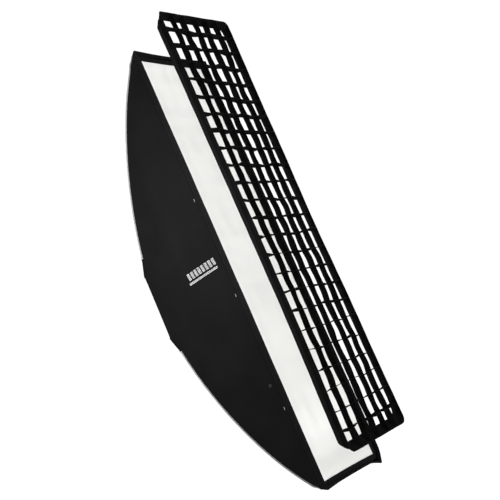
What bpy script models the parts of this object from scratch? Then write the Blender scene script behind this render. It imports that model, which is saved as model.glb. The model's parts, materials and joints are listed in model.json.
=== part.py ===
"""Strip softbox with a fabric grid, 30 x 120 cm.

Frame: +Z runs along the long side, the light leaves towards -Y, and the origin
is the centre of the bayonet insert's rear face, where a flash head meets it.
Depth means the distance behind the front edge of the lip, so y = depth - DEPTH.
"""
import math

import bmesh
import bpy
from mathutils import Vector

# Driving dimensions, in metres
LENGTH = 1.200            # front lip, outer, along Z
WIDTH = 0.300             # front lip, outer, along X
DEPTH = 0.332             # front edge of the lip to the insert's rear face
GAP = 0.0003              # clearance between pieces that touch
CLOTH = 0.0020            # outer fabric with its stiffening
LINING = 0.0006
LIP_DEPTH = 0.018         # straight rim in front of the tapered shell
BORDER = 0.018            # inward flange of the lip, behind the diffuser

# The shell tapers along this Bezier curve, given as (depth, height) handles
SHELL_HANDLES = ((LIP_DEPTH, LENGTH / 2), (0.155, 0.475), (0.262, 0.270), (0.308, 0.090))
SHELL_STEPS = 22
SHELL_START = 0.005       # share of the curve where the panels begin, clear of the lip
BACK_HALF_WIDTH = 0.084   # shell's half width where it meets the back panel
BACK_DEPTH = 0.3154       # rear edge of the side panels
SEAM = 0.0040             # bare strip at the corners, filled by the piping
PIPING_RADIUS = 0.0016

# Speed ring: radii and y positions
INSERT_BORE = 0.0500
INSERT_COLLAR = 0.0580
INSERT_FLANGE = 0.0632
RING_BORE = 0.0586
RING_COUNTERBORE = 0.0640
RING_NECK = 0.0635
RING_FLANGE = 0.0665
RING_BODY = 0.0720
RING_REAR_Y = -0.0010
RING_GROOVE_Y = (-0.0135, -0.0170)
RING_GROOVE_MIDDLE_Y = sum(RING_GROOVE_Y) / 2
RING_SHOULDER_Y = -0.0295
RING_FRONT_Y = -0.0380
RETAINER_THICKNESS = 0.0030
SCREW_HOLE_RADIUS = 0.0017
SCREW_HOLE_DEPTH = 0.0080
RETAINING_SCREWS = 6
FIRST_SCREW_ANGLE = math.radians(20)
TURN_STEPS = 48

# Bayonet notches: three, the first at this angle about the ring's axis
NOTCHES = 3
FIRST_NOTCH_ANGLE = math.radians(30)
NOTCH_DEPTH = 0.0070
NOTCH_WIDTH = 0.0160
NOTCH_REACH = 0.0045      # how far a notch goes outside the bore

# Lock screw, along +X through the ring's flange
LOCK_Y = (RING_REAR_Y + RING_GROOVE_Y[0]) / 2
LOCK_SHANK_RADIUS = 0.0025
LOCK_SHANK_END = 0.0705
LOCK_KNOB_RADIUS = 0.0056
LOCK_KNOB_LENGTH = 0.0140
LOCK_KNOB_RIBS = 8

# Rods and their sockets
ROD_RADIUS = 0.0020
ROD_INSET = 0.0105        # rod centre line inside the shell
SOCKET_RADIUS = 0.0055
SOCKET_LENGTH = 0.034
SOCKET_ANGLE = math.radians(50)
SOCKET_SEAT_RADIUS = 0.0655
SOCKET_Y = -0.0235
SOCKET_DIRECTION = Vector((0.165, -0.245, 0.955)).normalized()
SOCKET_BORE_FLOOR = 0.0040
ROD_END = 0.0045          # lower end of the rod above the socket's seat
ROD_START = 0.055         # share of the shell's curve where a rod's tip sits
ROD_FRONT_PULL = 0.169    # lengths of the rod's Bezier handles
ROD_BACK_PULL = 0.186
ROD_BEND_STEPS = 18
TIP_LENGTH = 0.008

# Front diffuser and inner baffle
DIFFUSER_DEPTH = 0.0146
DIFFUSER_THICKNESS = 0.0010
DIFFUSER_CLEARANCE = 0.0020
HEM_WIDTH = BORDER - 0.004
HEM_THICKNESS = 0.0008
LOOP_TAPE_THICKNESS = 0.0009
LOOP_TAPE_DEPTHS = (0.0015, 0.0115)
BAFFLE_DEPTH = 0.150
BAFFLE_SIZE = (0.210, 0.770)
BAFFLE_THICKNESS = 0.0008
TAB_WIDTH = 0.020
TAB_CLEARANCE = 0.0020
BAFFLE_SIDE_TABS = (-0.27, 0.0, 0.27)
BAFFLE_END_TABS = (0.06, -0.06)

# Blank label on the left panel
LABEL_THICKNESS = 0.0006
LABEL_HEIGHTS = (-0.006, 0.030)         # its lower and upper edge
LABEL_SHELL_HEIGHTS = (0.581, 0.430)    # where along the shell's curve its ends lie

# Grid, and how far it is held off the lip: right, forward and up
GRID_LENGTH = 1.1910
GRID_WIDTH = 0.2910
GRID_DEPTH = 0.026         # of the band; the crossing strips are flush with its front
GRID_STRIP_DEPTH = 0.017
GRID_ROWS = 24
GRID_COLUMNS = 6
GRID_CLOTH = 0.0015
GRID_CORNER = 0.020
GRID_TAPE = 0.0008
GRID_TAPE_WIDTH = 0.012
GRID_OFFSET = Vector((0.006, -0.105, 0.057))

# Closure flaps over the access gaps beside the ring
ACCESS_HEIGHT = 0.135     # rear edge of the end panels
FLAP_HEIGHT = 0.170       # sewn edge of the flap
FLAP_HALF_WIDTH = 0.081
FLAP_CLOTH = 0.0016
FLAP_LIFT = 0.0006        # clearance between flap and panel
FLAP_TAIL_GAP = 0.0014    # room for the tape between the back panel and the flap's tail
FLAP_TAIL_HEIGHT = 0.0740 # free edge of the tail
FLAP_TAPE_HEIGHTS = (0.0750, 0.0860)
FLAP_TAPE_INSET = 0.010


# ---------------------------------------------------------------- scene helpers

def clear_scene():
    for old in list(bpy.data.objects):
        bpy.data.objects.remove(old, do_unlink=True)


def new_collection(name):
    made = bpy.data.collections.new(name)
    bpy.context.scene.collection.children.link(made)
    return made


def material(name, colour, roughness, metallic=0.0):
    made = bpy.data.materials.new(name)
    made.use_nodes = True
    shader = made.node_tree.nodes["Principled BSDF"]
    shader.inputs["Base Color"].default_value = (*colour, 1.0)
    shader.inputs["Roughness"].default_value = roughness
    shader.inputs["Metallic"].default_value = metallic
    return made


def add_object(name, data, finish, collection=None):
    made = bpy.data.objects.new(name, data)
    (collection or PARTS).objects.link(made)
    if finish:
        data.materials.append(finish)
    return made


def make_cutter(cutter):
    for collection in list(cutter.users_collection):
        collection.objects.unlink(cutter)
    CUTTERS.objects.link(cutter)
    cutter.hide_render = True
    cutter.display_type = "WIRE"
    return cutter


def cut(target, cutter):
    modifier = target.modifiers.new(cutter.name, "BOOLEAN")
    modifier.operation = "DIFFERENCE"
    modifier.solver = "EXACT"
    modifier.object = make_cutter(cutter)


def smooth(made, angle=35):
    made.data.shade_smooth()
    made.data.set_sharp_from_angle(angle=math.radians(angle))
    return made


# ---------------------------------------------------------------- shape helpers

def box(name, low, high, finish):
    """A box between two corners."""
    bm = bmesh.new()
    bmesh.ops.create_cube(bm, size=1.0)
    low, high = Vector(low), Vector(high)
    size = high - low
    bmesh.ops.scale(bm, vec=size, verts=bm.verts)
    bmesh.ops.translate(bm, vec=(low + high) / 2, verts=bm.verts)
    mesh = bpy.data.meshes.new(name)
    bm.to_mesh(mesh)
    bm.free()
    return add_object(name, mesh, finish)


def cylinder(name, start, end, radius, finish=None, sides=24):
    """A solid cylinder between two points."""
    start, end = Vector(start), Vector(end)
    axis = end - start
    bm = bmesh.new()
    bmesh.ops.create_cone(bm, cap_ends=True, segments=sides, radius1=radius, radius2=radius,
                          depth=axis.length)
    mesh = bpy.data.meshes.new(name)
    bm.to_mesh(mesh)
    bm.free()
    made = add_object(name, mesh, finish)
    made.location = (start + end) / 2
    made.rotation_euler = axis.to_track_quat("Z", "Y").to_euler()
    return made


def turned(name, profile, finish, base=(0, 0, 0), axis=(0, 1, 0), steps=TURN_STEPS):
    """Turn a closed (radius, height) profile about an axis through base."""
    bm = bmesh.new()
    points = [bm.verts.new((radius, 0, height)) for radius, height in profile]
    on_axis = profile[0][0] == 0 and profile[-1][0] == 0
    pairs = list(zip(points, points[1:]))
    if not on_axis:
        pairs.append((points[-1], points[0]))
    for pair in pairs:
        bm.edges.new(pair)
    mesh = bpy.data.meshes.new(name)
    bm.to_mesh(mesh)
    bm.free()
    made = add_object(name, mesh, finish)
    made.location = base
    made.rotation_euler = Vector(axis).to_track_quat("Z", "X").to_euler()
    screw = made.modifiers.new("Turn", "SCREW")
    screw.axis = "Z"
    screw.angle = math.tau
    screw.steps = screw.render_steps = steps
    screw.use_merge_vertices = True
    screw.merge_threshold = 0.00001
    return made


def sheet(name, rows, thickness, outward, finish, folded=False):
    """A sheet through rows of points, thickened away from its outward side."""
    bm = bmesh.new()
    grid = [[bm.verts.new(point) for point in row] for row in rows]
    for row, following in zip(grid, grid[1:]):
        for column in range(len(row) - 1):
            bm.faces.new((row[column], row[column + 1], following[column + 1], following[column]))
    bm.normal_update()
    bm.faces.ensure_lookup_table()
    if bm.faces[0].normal.dot(Vector(outward)) < 0:
        bmesh.ops.reverse_faces(bm, faces=bm.faces)
    mesh = bpy.data.meshes.new(name)
    bm.to_mesh(mesh)
    bm.free()
    made = add_object(name, mesh, finish)
    solidify = made.modifiers.new("Thickness", "SOLIDIFY")
    solidify.thickness = thickness
    solidify.offset = -1
    solidify.use_even_offset = True
    if folded:
        solidify.solidify_mode = "NON_MANIFOLD"
        solidify.nonmanifold_thickness_mode = "CONSTRAINTS"
    return smooth(made)


def outline(name, points, thickness, finish, location=(0, 0, 0), rotation=(0, 0, 0), holes=()):
    """A flat outline, extruded by half its thickness to each side."""
    curve = bpy.data.curves.new(name, "CURVE")
    curve.dimensions = "2D"
    curve.fill_mode = "BOTH"
    curve.extrude = thickness / 2
    for loop in (points, *holes):
        spline = curve.splines.new("POLY")
        spline.points.add(len(loop) - 1)
        for point, (across, along) in zip(spline.points, loop):
            point.co = (across, along, 0, 1)
        spline.use_cyclic_u = True
    made = add_object(name, curve, finish)
    made.location = location
    made.rotation_euler = rotation
    return made


def tube(name, points, radius, finish, resolution=2):
    curve = bpy.data.curves.new(name, "CURVE")
    curve.dimensions = "3D"
    curve.bevel_depth = radius
    curve.bevel_resolution = resolution
    curve.use_fill_caps = True
    spline = curve.splines.new("POLY")
    spline.points.add(len(points) - 1)
    for point, place in zip(spline.points, points):
        point.co = (*place, 1)
    return add_object(name, curve, finish)


def circle(radius, count, centre=(0, 0), start=0.0, turn=math.tau, closed=True):
    steps = count if closed else count - 1
    return [(centre[0] + radius * math.cos(start + turn * step / steps),
             centre[1] + radius * math.sin(start + turn * step / steps))
            for step in range(count)]


def rounded_rectangle(width, length, radius, count=6):
    points = []
    corners = ((1, 1, 0), (-1, 1, 90), (-1, -1, 180), (1, -1, 270))
    for side_x, side_z, degrees in corners:
        centre = (side_x * (width / 2 - radius), side_z * (length / 2 - radius))
        points += circle(radius, count, centre, math.radians(degrees), math.pi / 2, closed=False)
    return points


# ---------------------------------------------------------------- shell geometry

def bezier(handles, t):
    a, b, c, d = (Vector(handle) for handle in handles)
    s = 1 - t
    return a * s ** 3 + 3 * b * s * s * t + 3 * c * s * t * t + d * t ** 3


def bezier_tangent(handles, t):
    a, b, c, d = (Vector(handle) for handle in handles)
    s = 1 - t
    return (3 * (b - a) * s * s + 6 * (c - b) * s * t + 3 * (d - c) * t * t).normalized()


def shell_point(t, inset=0.0):
    """(depth, height) on the shell's outline, or a distance inside it."""
    point = bezier(SHELL_HANDLES, t)
    tangent = bezier_tangent(SHELL_HANDLES, t)
    outward = Vector((-tangent.y, tangent.x))
    return point - outward * inset


def shell_half_width(t):
    height = shell_point(t).y
    back_height = SHELL_HANDLES[3][1]
    share = (height - back_height) / (LENGTH / 2 - back_height)
    return BACK_HALF_WIDTH + (WIDTH / 2 - BACK_HALF_WIDTH) * share


def halve_until(before):
    """The share of the curve, from 0 to 1, up to which before(t) holds."""
    low, high = 0.0, 1.0
    for _ in range(40):
        middle = (low + high) / 2
        if before(middle):
            low = middle
        else:
            high = middle
    return low


def shell_t_at_height(height):
    return halve_until(lambda t: shell_point(t).y > height)


def shell_t_at_depth(depth, inset):
    return halve_until(lambda t: shell_point(t, inset).x < depth)


def y_at(depth):
    return depth - DEPTH


def steps_between(start, end, count):
    return [start + (end - start) * step / count for step in range(count + 1)]


# ---------------------------------------------------------------- speed ring

def make_insert():
    profile = ((INSERT_COLLAR, 0), (INSERT_COLLAR, RING_SHOULDER_Y - GAP),
               (INSERT_FLANGE, RING_SHOULDER_Y - GAP), (INSERT_FLANGE, RING_FRONT_Y + GAP),
               (INSERT_BORE, RING_FRONT_Y + GAP), (INSERT_BORE, 0))
    insert = turned("bayonet_insert", profile, ALUMINIUM)
    overshoot = 0.004
    for number in range(NOTCHES):
        notch = box(f"bayonet_notch_{number}",
                    (INSERT_BORE - overshoot, -NOTCH_DEPTH, -NOTCH_WIDTH / 2),
                    (INSERT_BORE + NOTCH_REACH, overshoot, NOTCH_WIDTH / 2), None)
        notch.rotation_euler = (0, FIRST_NOTCH_ANGLE + math.tau * number / NOTCHES, 0)
        cut(insert, notch)
    return smooth(insert)


def corner_signs():
    """Name and (x, z) signs of the four rods."""
    return (("upper_left", -1, 1), ("upper_right", 1, 1),
            ("lower_left", -1, -1), ("lower_right", 1, -1))


def mirrored(point, side_x, side_z):
    return Vector((point[0] * side_x, point[1], point[2] * side_z))


def socket_seat():
    return Vector((SOCKET_SEAT_RADIUS * math.cos(SOCKET_ANGLE), SOCKET_Y,
                   SOCKET_SEAT_RADIUS * math.sin(SOCKET_ANGLE)))


def retaining_screw_places():
    radius = (RING_COUNTERBORE + RING_BODY) / 2
    return circle(radius, RETAINING_SCREWS, start=FIRST_SCREW_ANGLE)


def make_ring():
    groove_rear, groove_front = RING_GROOVE_Y
    chamfer = 0.0012
    profile = ((RING_FLANGE - chamfer, RING_REAR_Y), (RING_FLANGE, RING_REAR_Y - chamfer),
               (RING_FLANGE, groove_rear), (RING_NECK, groove_rear), (RING_NECK, groove_front),
               (RING_BODY - chamfer, groove_front), (RING_BODY, groove_front - chamfer),
               (RING_BODY, RING_FRONT_Y), (RING_COUNTERBORE, RING_FRONT_Y),
               (RING_COUNTERBORE, RING_SHOULDER_Y), (RING_BORE, RING_SHOULDER_Y),
               (RING_BORE, RING_REAR_Y))
    ring = turned("ring_housing", profile, PAINTED_METAL)
    for label, side_x, side_z in corner_signs():
        seat = mirrored(socket_seat(), side_x, side_z)
        direction = mirrored(SOCKET_DIRECTION, side_x, side_z)
        hole = cylinder(f"socket_hole_{label}", seat - direction * GAP, seat + direction * 0.05,
                        SOCKET_RADIUS + GAP)
        cut(ring, hole)
    for number, (across, up) in enumerate(retaining_screw_places()):
        hole = cylinder(f"ring_screw_hole_{number}", (across, RING_FRONT_Y - 0.005, up),
                        (across, RING_FRONT_Y + SCREW_HOLE_DEPTH, up), SCREW_HOLE_RADIUS,
                        sides=12)
        cut(ring, hole)
    hole = cylinder("lock_hole", (RING_BORE - 0.005, LOCK_Y, 0), (RING_FLANGE + 0.005, LOCK_Y, 0),
                    LOCK_SHANK_RADIUS + GAP)
    cut(ring, hole)
    return smooth(ring)


def make_retaining_ring():
    rear = RING_FRONT_Y - GAP
    front = rear - RETAINER_THICKNESS
    outer = RING_BODY - 0.0005
    inner = INSERT_COLLAR - 0.001
    chamfer = 0.0008
    profile = ((outer, rear), (outer, front + chamfer), (outer - chamfer, front), (inner, front),
               (inner, rear))
    ring = turned("retaining_ring", profile, PAINTED_METAL)
    shank, reach = 0.0014, 0.0105
    head, head_edge, head_height = 0.0030, 0.0012, 0.0020
    screw = ((0, reach), (shank, reach), (shank, 0), (head, 0), (head, -head_edge),
             (head - 0.0006, -head_height), (0, -head_height))
    for number, (across, up) in enumerate(retaining_screw_places(), 1):
        hole = cylinder(f"retainer_hole_{number}", (across, front - 0.005, up),
                        (across, rear + 0.005, up), SCREW_HOLE_RADIUS, sides=12)
        cut(ring, hole)
        smooth(turned(f"retaining_screw_{number}", screw, STEEL,
                      (across, front - GAP, up), steps=14))
    return smooth(ring)


def make_lock_knob():
    """Thumb screw that stops the ring turning on the insert."""
    shank = cylinder("lock_screw", (RING_BORE + GAP, LOCK_Y, 0), (LOCK_SHANK_END, LOCK_Y, 0),
                     LOCK_SHANK_RADIUS, STEEL, sides=20)
    smooth(shank)
    points = []
    for step in range(TURN_STEPS):
        angle = math.tau * step / TURN_STEPS
        radius = LOCK_KNOB_RADIUS * (1 + 0.07 * math.cos(LOCK_KNOB_RIBS * angle))
        points.append((radius * math.cos(angle), radius * math.sin(angle)))
    middle = LOCK_SHANK_END + GAP + LOCK_KNOB_LENGTH / 2
    outline("lock_knob", points, LOCK_KNOB_LENGTH, PLASTIC, location=(middle, LOCK_Y, 0),
            rotation=(0, math.pi / 2, 0))


def make_sockets():
    bore = ROD_RADIUS + GAP
    edge = 0.001
    profile = ((0, SOCKET_BORE_FLOOR), (bore, SOCKET_BORE_FLOOR), (bore, SOCKET_LENGTH - edge),
               (bore + edge, SOCKET_LENGTH), (SOCKET_RADIUS - edge, SOCKET_LENGTH),
               (SOCKET_RADIUS, SOCKET_LENGTH - edge), (SOCKET_RADIUS, 0), (0, 0))
    for label, side_x, side_z in corner_signs():
        seat = mirrored(socket_seat(), side_x, side_z)
        direction = mirrored(SOCKET_DIRECTION, side_x, side_z)
        smooth(turned(f"rod_socket_{label}", profile, ALUMINIUM, seat, direction, steps=24))


# ---------------------------------------------------------------- rods

def rod_handles():
    """Bezier handles of the upper right rod, from its front tip to the socket's mouth."""
    mouth = socket_seat() + SOCKET_DIRECTION * SOCKET_LENGTH
    depth, height = shell_point(ROD_START, ROD_INSET)
    tip = Vector((WIDTH / 2 - ROD_INSET - 0.003, y_at(depth), height))
    front = bezier_tangent(SHELL_HANDLES, ROD_START) * ROD_FRONT_PULL
    sideways = (mouth.x - tip.x) * 0.3
    return (tip, tip + Vector((sideways, front.x, front.y)),
            mouth + SOCKET_DIRECTION * ROD_BACK_PULL, mouth)


def make_rods():
    handles = rod_handles()
    bend = [bezier(handles, t) for t in steps_between(0, 1, ROD_BEND_STEPS)]
    seated = socket_seat() + SOCKET_DIRECTION * ROD_END
    forward = -bezier_tangent(handles, 0)
    tip = handles[0]
    nose = ((0, TIP_LENGTH), (0.0016, TIP_LENGTH - 0.0006), (0.0028, TIP_LENGTH - 0.0022),
            (0.0030, 0), (0, 0))
    reach = TIP_LENGTH + GAP
    inner, outer, tail, wall = 0.0036, 0.0050, -0.018, 0.0014
    pocket = ((0, reach + wall), (outer - 0.0008, reach + wall), (outer, reach + 0.0002),
              (outer, tail), (inner, tail), (inner, reach), (0, reach))
    for label, side_x, side_z in corner_signs():
        points = [mirrored(point, side_x, side_z) for point in (*bend, seated)]
        tube(f"rod_{label}", points, ROD_RADIUS, STEEL)
        start = mirrored(tip + forward * GAP, side_x, side_z)
        direction = mirrored(forward, side_x, side_z)
        smooth(turned(f"rod_tip_{label}", nose, PLASTIC, start, direction, steps=16))
        smooth(turned(f"corner_pocket_{label}", pocket, WEBBING, start, direction, steps=20))


# ---------------------------------------------------------------- fabric shell

def make_side_panels():
    for label, side in (("left", -1), ("right", 1)):
        panel, lining = [], []
        for t in steps_between(SHELL_START, 1, SHELL_STEPS):
            depth, height = shell_point(t, SEAM)
            depth = max(depth, LIP_DEPTH + 2 * GAP)
            across = side * shell_half_width(t)
            panel.append([(across, y_at(depth), z) for z in (-height, 0, height)])
            depth, height = shell_point(t, SEAM * 2)
            depth = max(depth, LIP_DEPTH + 2 * GAP)
            across = side * (shell_half_width(t) - CLOTH - GAP)
            lining.append([(across, y_at(depth), z) for z in (-height, 0, height)])
        across, _, height = panel[-1][2]
        panel.append([(across, y_at(BACK_DEPTH), z) for z in (-height, 0, height)])
        sheet(f"side_panel_{label}", panel, CLOTH, (side, 0, 0), FABRIC)
        sheet(f"lining_{label}", lining, LINING, (side, 0, 0), SILVER)


def make_end_panels():
    last = shell_t_at_height(ACCESS_HEIGHT)
    for label, side in (("top", 1), ("bottom", -1)):
        panel, lining = [], []
        for t in steps_between(SHELL_START, last, SHELL_STEPS):
            depth, height = shell_point(t)
            reach = shell_half_width(t) - SEAM
            panel.append([(x, y_at(depth), side * height) for x in (-reach, 0, reach)])
            depth, height = shell_point(t, CLOTH + GAP)
            if depth > LIP_DEPTH + GAP + LINING:
                reach -= SEAM
                lining.append([(x, y_at(depth), side * height) for x in (-reach, 0, reach)])
        sheet(f"end_panel_{label}", panel, CLOTH, (0, 0.1, side), FABRIC)
        sheet(f"lining_{label}", lining, LINING, (0, 0.1, side), SILVER)


def make_piping():
    for label, side_x, side_z in corner_signs():
        points = []
        for t in steps_between(SHELL_START, 1, SHELL_STEPS):
            depth, height = shell_point(t, PIPING_RADIUS)
            across = shell_half_width(t) - PIPING_RADIUS
            if depth > LIP_DEPTH + PIPING_RADIUS:
                points.append((side_x * across, y_at(depth), side_z * height))
        tube(f"seam_piping_{label}", points, PIPING_RADIUS, WEBBING, resolution=1)


def make_back_panel():
    width = 2 * (BACK_HALF_WIDTH - GAP)
    height = 2 * (SHELL_HANDLES[3][1] - CLOTH)
    outline("back_panel", rounded_rectangle(width, height, 0.006), CLOTH, FABRIC,
            location=(0, RING_GROOVE_MIDDLE_Y, 0), rotation=(math.pi / 2, 0, 0),
            holes=(circle(RING_NECK + GAP, TURN_STEPS),))


def make_lip():
    """Four folded hems: a wall facing outwards and a border facing forwards."""
    half_x, half_z = WIDTH / 2, LENGTH / 2
    mitre = 2 * GAP
    corner = CLOTH + mitre
    front, rear = y_at(0), y_at(LIP_DEPTH)
    for label, side in (("left", -1), ("right", 1)):
        rows = [[(side * half_x, front, end * (half_z - corner)),
                 (side * half_x, rear, end * (half_z - corner)),
                 (side * (half_x - BORDER), rear, end * (half_z - BORDER - mitre))]
                for end in (-1, 1)]
        sheet(f"lip_{label}", rows, CLOTH, (side, 0, 0), FABRIC, folded=True)
    for label, side in (("top", 1), ("bottom", -1)):
        rows = [[(end * (half_x - corner), front, side * half_z),
                 (end * (half_x - corner), rear, side * half_z),
                 (end * (half_x - BORDER - mitre), rear, side * (half_z - BORDER))]
                for end in (-1, 1)]
        sheet(f"lip_{label}", rows, CLOTH, (0, 0, side), FABRIC, folded=True)


def flat_frame(name, width, length, strip, low_depth, high_depth, finish, radius=0.004):
    """A flat rectangular frame between two depths."""
    inner = rounded_rectangle(width - 2 * strip, length - 2 * strip, max(radius - strip, 0.001))
    return outline(name, rounded_rectangle(width, length, radius), high_depth - low_depth, finish,
                   location=(0, y_at((low_depth + high_depth) / 2), 0),
                   rotation=(math.pi / 2, 0, 0), holes=(inner,))


def make_front():
    inner_width = WIDTH - 2 * CLOTH
    inner_length = LENGTH - 2 * CLOTH
    flat_frame("lip_loop_tape", inner_width - 2 * GAP, inner_length - 2 * GAP,
               LOOP_TAPE_THICKNESS, *LOOP_TAPE_DEPTHS, WEBBING, radius=0.002)
    width = inner_width - 2 * DIFFUSER_CLEARANCE
    length = inner_length - 2 * DIFFUSER_CLEARANCE
    outline("front_diffuser", rounded_rectangle(width, length, 0.004), DIFFUSER_THICKNESS, DIFFUSER,
            location=(0, y_at(DIFFUSER_DEPTH), 0), rotation=(math.pi / 2, 0, 0))
    hem_rear = DIFFUSER_DEPTH - DIFFUSER_THICKNESS / 2 - GAP
    flat_frame("diffuser_hem", width - 0.001, length - 0.001, HEM_WIDTH,
               hem_rear - HEM_THICKNESS, hem_rear, WEBBING)


def make_baffle():
    """Inner diffuser with the tabs that hold it to the walls."""
    half_width, half_length = BAFFLE_SIZE[0] / 2, BAFFLE_SIZE[1] / 2
    half_tab = TAB_WIDTH / 2
    t = shell_t_at_depth(BAFFLE_DEPTH, CLOTH + LINING)
    side_reach = shell_half_width(t) - CLOTH - LINING - TAB_CLEARANCE
    end_reach = shell_point(t, CLOTH + LINING).y - 2 * TAB_CLEARANCE
    right_side = []
    for height in BAFFLE_SIDE_TABS:
        right_side += [(half_width, height - half_tab), (side_reach, height - half_tab),
                       (side_reach, height + half_tab), (half_width, height + half_tab)]
    top_end = [(half_width, half_length)]
    for across in BAFFLE_END_TABS:
        top_end += [(across + half_tab, half_length), (across + half_tab, end_reach),
                    (across - half_tab, end_reach), (across - half_tab, half_length)]
    half = right_side + top_end
    points = half + [(-across, -up) for across, up in half]
    outline("inner_baffle", points, BAFFLE_THICKNESS, DIFFUSER,
            location=(0, y_at(BAFFLE_DEPTH), 0), rotation=(math.pi / 2, 0, 0))


def make_label():
    """Blank woven label sewn on the left panel."""
    rows = []
    start, end = (shell_t_at_height(height) for height in LABEL_SHELL_HEIGHTS)
    for t in steps_between(start, end, 5):
        depth = shell_point(t).x
        across = -(shell_half_width(t) + GAP + LABEL_THICKNESS)
        rows.append([(across, y_at(depth), height) for height in LABEL_HEIGHTS])
    sheet("side_label", rows, LABEL_THICKNESS, (-1, 0, 0), LABEL)


# ---------------------------------------------------------------- closure flaps

def make_flaps():
    panel_y = RING_GROOVE_MIDDLE_Y + CLOTH / 2
    tail_y = panel_y + FLAP_TAIL_GAP
    outer_y = tail_y + FLAP_CLOTH
    bend = ((outer_y - 0.0035, 0.0935), (outer_y, 0.0905), (outer_y, FLAP_TAIL_HEIGHT))
    tape_reach = FLAP_HALF_WIDTH - FLAP_TAPE_INSET
    for label, side in (("top", 1), ("bottom", -1)):
        line = []
        for t in steps_between(shell_t_at_height(FLAP_HEIGHT), 1, 6):
            depth, height = shell_point(t, -(FLAP_LIFT + FLAP_CLOTH))
            line.append((y_at(depth), height))
        rows = [[(x, y, side * height) for x in (-FLAP_HALF_WIDTH, 0, FLAP_HALF_WIDTH)]
                for y, height in (*line, *bend)]
        sheet(f"closure_flap_{label}", rows, FLAP_CLOTH, (0, 0.3, side), FABRIC)
        low, high = sorted(side * height for height in FLAP_TAPE_HEIGHTS)
        box(f"flap_tape_{label}", (-tape_reach, panel_y + GAP, low),
            (tape_reach, tail_y - GAP, high), WEBBING)


# ---------------------------------------------------------------- grid

def lattice_outline(columns, rows, reach_x, reach_z):
    """Outer edge of the crossing strips, whose ends reach the band."""
    half = GRID_CLOTH / 2
    outer_x, outer_z = columns[-1] + half, rows[-1] + half
    right = []
    for up in rows:
        right += [(outer_x, up - half), (reach_x, up - half), (reach_x, up + half),
                  (outer_x, up + half)]
    top = []
    for across in reversed(columns):
        top += [(across + half, outer_z), (across + half, reach_z), (across - half, reach_z),
                (across - half, outer_z)]
    side = right[:-1] + [(outer_x, outer_z)] + top[1:]
    return side[1:] + [(-across, -up) for across, up in side[1:]]


def make_grid():
    centre = Vector((GRID_OFFSET.x, y_at(0) + GRID_OFFSET.y + GRID_DEPTH / 2, GRID_OFFSET.z))
    columns = [GRID_WIDTH * (step / GRID_COLUMNS - 0.5) for step in range(1, GRID_COLUMNS)]
    rows = [GRID_LENGTH * (step / GRID_ROWS - 0.5) for step in range(1, GRID_ROWS)]
    inside = GRID_CLOTH + GAP
    half = GRID_CLOTH / 2
    cells = [[(left + half, low + half), (right - half, low + half),
              (right - half, high - half), (left + half, high - half)]
             for left, right in zip(columns, columns[1:]) for low, high in zip(rows, rows[1:])]
    edge = lattice_outline(columns, rows, GRID_WIDTH / 2 - inside, GRID_LENGTH / 2 - inside)
    recess = 0.0005
    lattice_centre = centre + Vector((0, (GRID_STRIP_DEPTH - GRID_DEPTH) / 2 + recess, 0))
    outline("grid_lattice", edge, GRID_STRIP_DEPTH, GRID_FABRIC, lattice_centre,
            (math.pi / 2, 0, 0), cells)

    outline("grid_band", rounded_rectangle(GRID_WIDTH, GRID_LENGTH, GRID_CORNER), GRID_DEPTH,
            GRID_FABRIC, centre, (math.pi / 2, 0, 0),
            (rounded_rectangle(GRID_WIDTH - 2 * GRID_CLOTH, GRID_LENGTH - 2 * GRID_CLOTH,
                               GRID_CORNER - GRID_CLOTH),))
    inner, outer = 2 * GAP, 2 * (GAP + GRID_TAPE)
    tape_y = GRID_DEPTH / 2 - GRID_TAPE_WIDTH / 2 - recess
    outline("grid_hook_tape",
            rounded_rectangle(GRID_WIDTH + outer, GRID_LENGTH + outer, GRID_CORNER + outer / 2),
            GRID_TAPE_WIDTH, WEBBING, centre + Vector((0, tape_y, 0)), (math.pi / 2, 0, 0),
            (rounded_rectangle(GRID_WIDTH + inner, GRID_LENGTH + inner, GRID_CORNER + inner / 2),))


clear_scene()
PARTS = new_collection("strip_softbox")
CUTTERS = new_collection("cutters")

ALUMINIUM = material("aluminium", (0.72, 0.72, 0.73), 0.35, 1.0)
PAINTED_METAL = material("painted_metal", (0.03, 0.03, 0.032), 0.45, 0.2)
STEEL = material("steel", (0.55, 0.55, 0.56), 0.3, 1.0)
PLASTIC = material("black_plastic", (0.02, 0.02, 0.02), 0.5)
FABRIC = material("black_fabric", (0.018, 0.018, 0.020), 0.85)
SILVER = material("silver_lining", (0.70, 0.70, 0.72), 0.4, 0.6)
WEBBING = material("black_webbing", (0.012, 0.012, 0.013), 0.9)
DIFFUSER = material("diffuser_cloth", (0.83, 0.83, 0.81), 0.9)
LABEL = material("label", (0.55, 0.55, 0.55), 0.8)
GRID_FABRIC = material("grid_fabric", (0.010, 0.010, 0.011), 0.9)

make_insert()
make_ring()
make_retaining_ring()
make_lock_knob()
make_sockets()
make_rods()
make_side_panels()
make_end_panels()
make_piping()
make_back_panel()
make_lip()
make_front()
make_baffle()
make_label()
make_flaps()
make_grid()
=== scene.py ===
"""Looks of the strip softbox: fabric panels, a white front and a fabric grid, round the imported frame.

+Z runs along the long side, the light leaves towards -Y, and depth means the
distance behind the front edge of the lip. All sizes are in metres.
"""

import json
import math

import bmesh
import bpy
import numpy as np
from mathutils import Matrix, Vector


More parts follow.
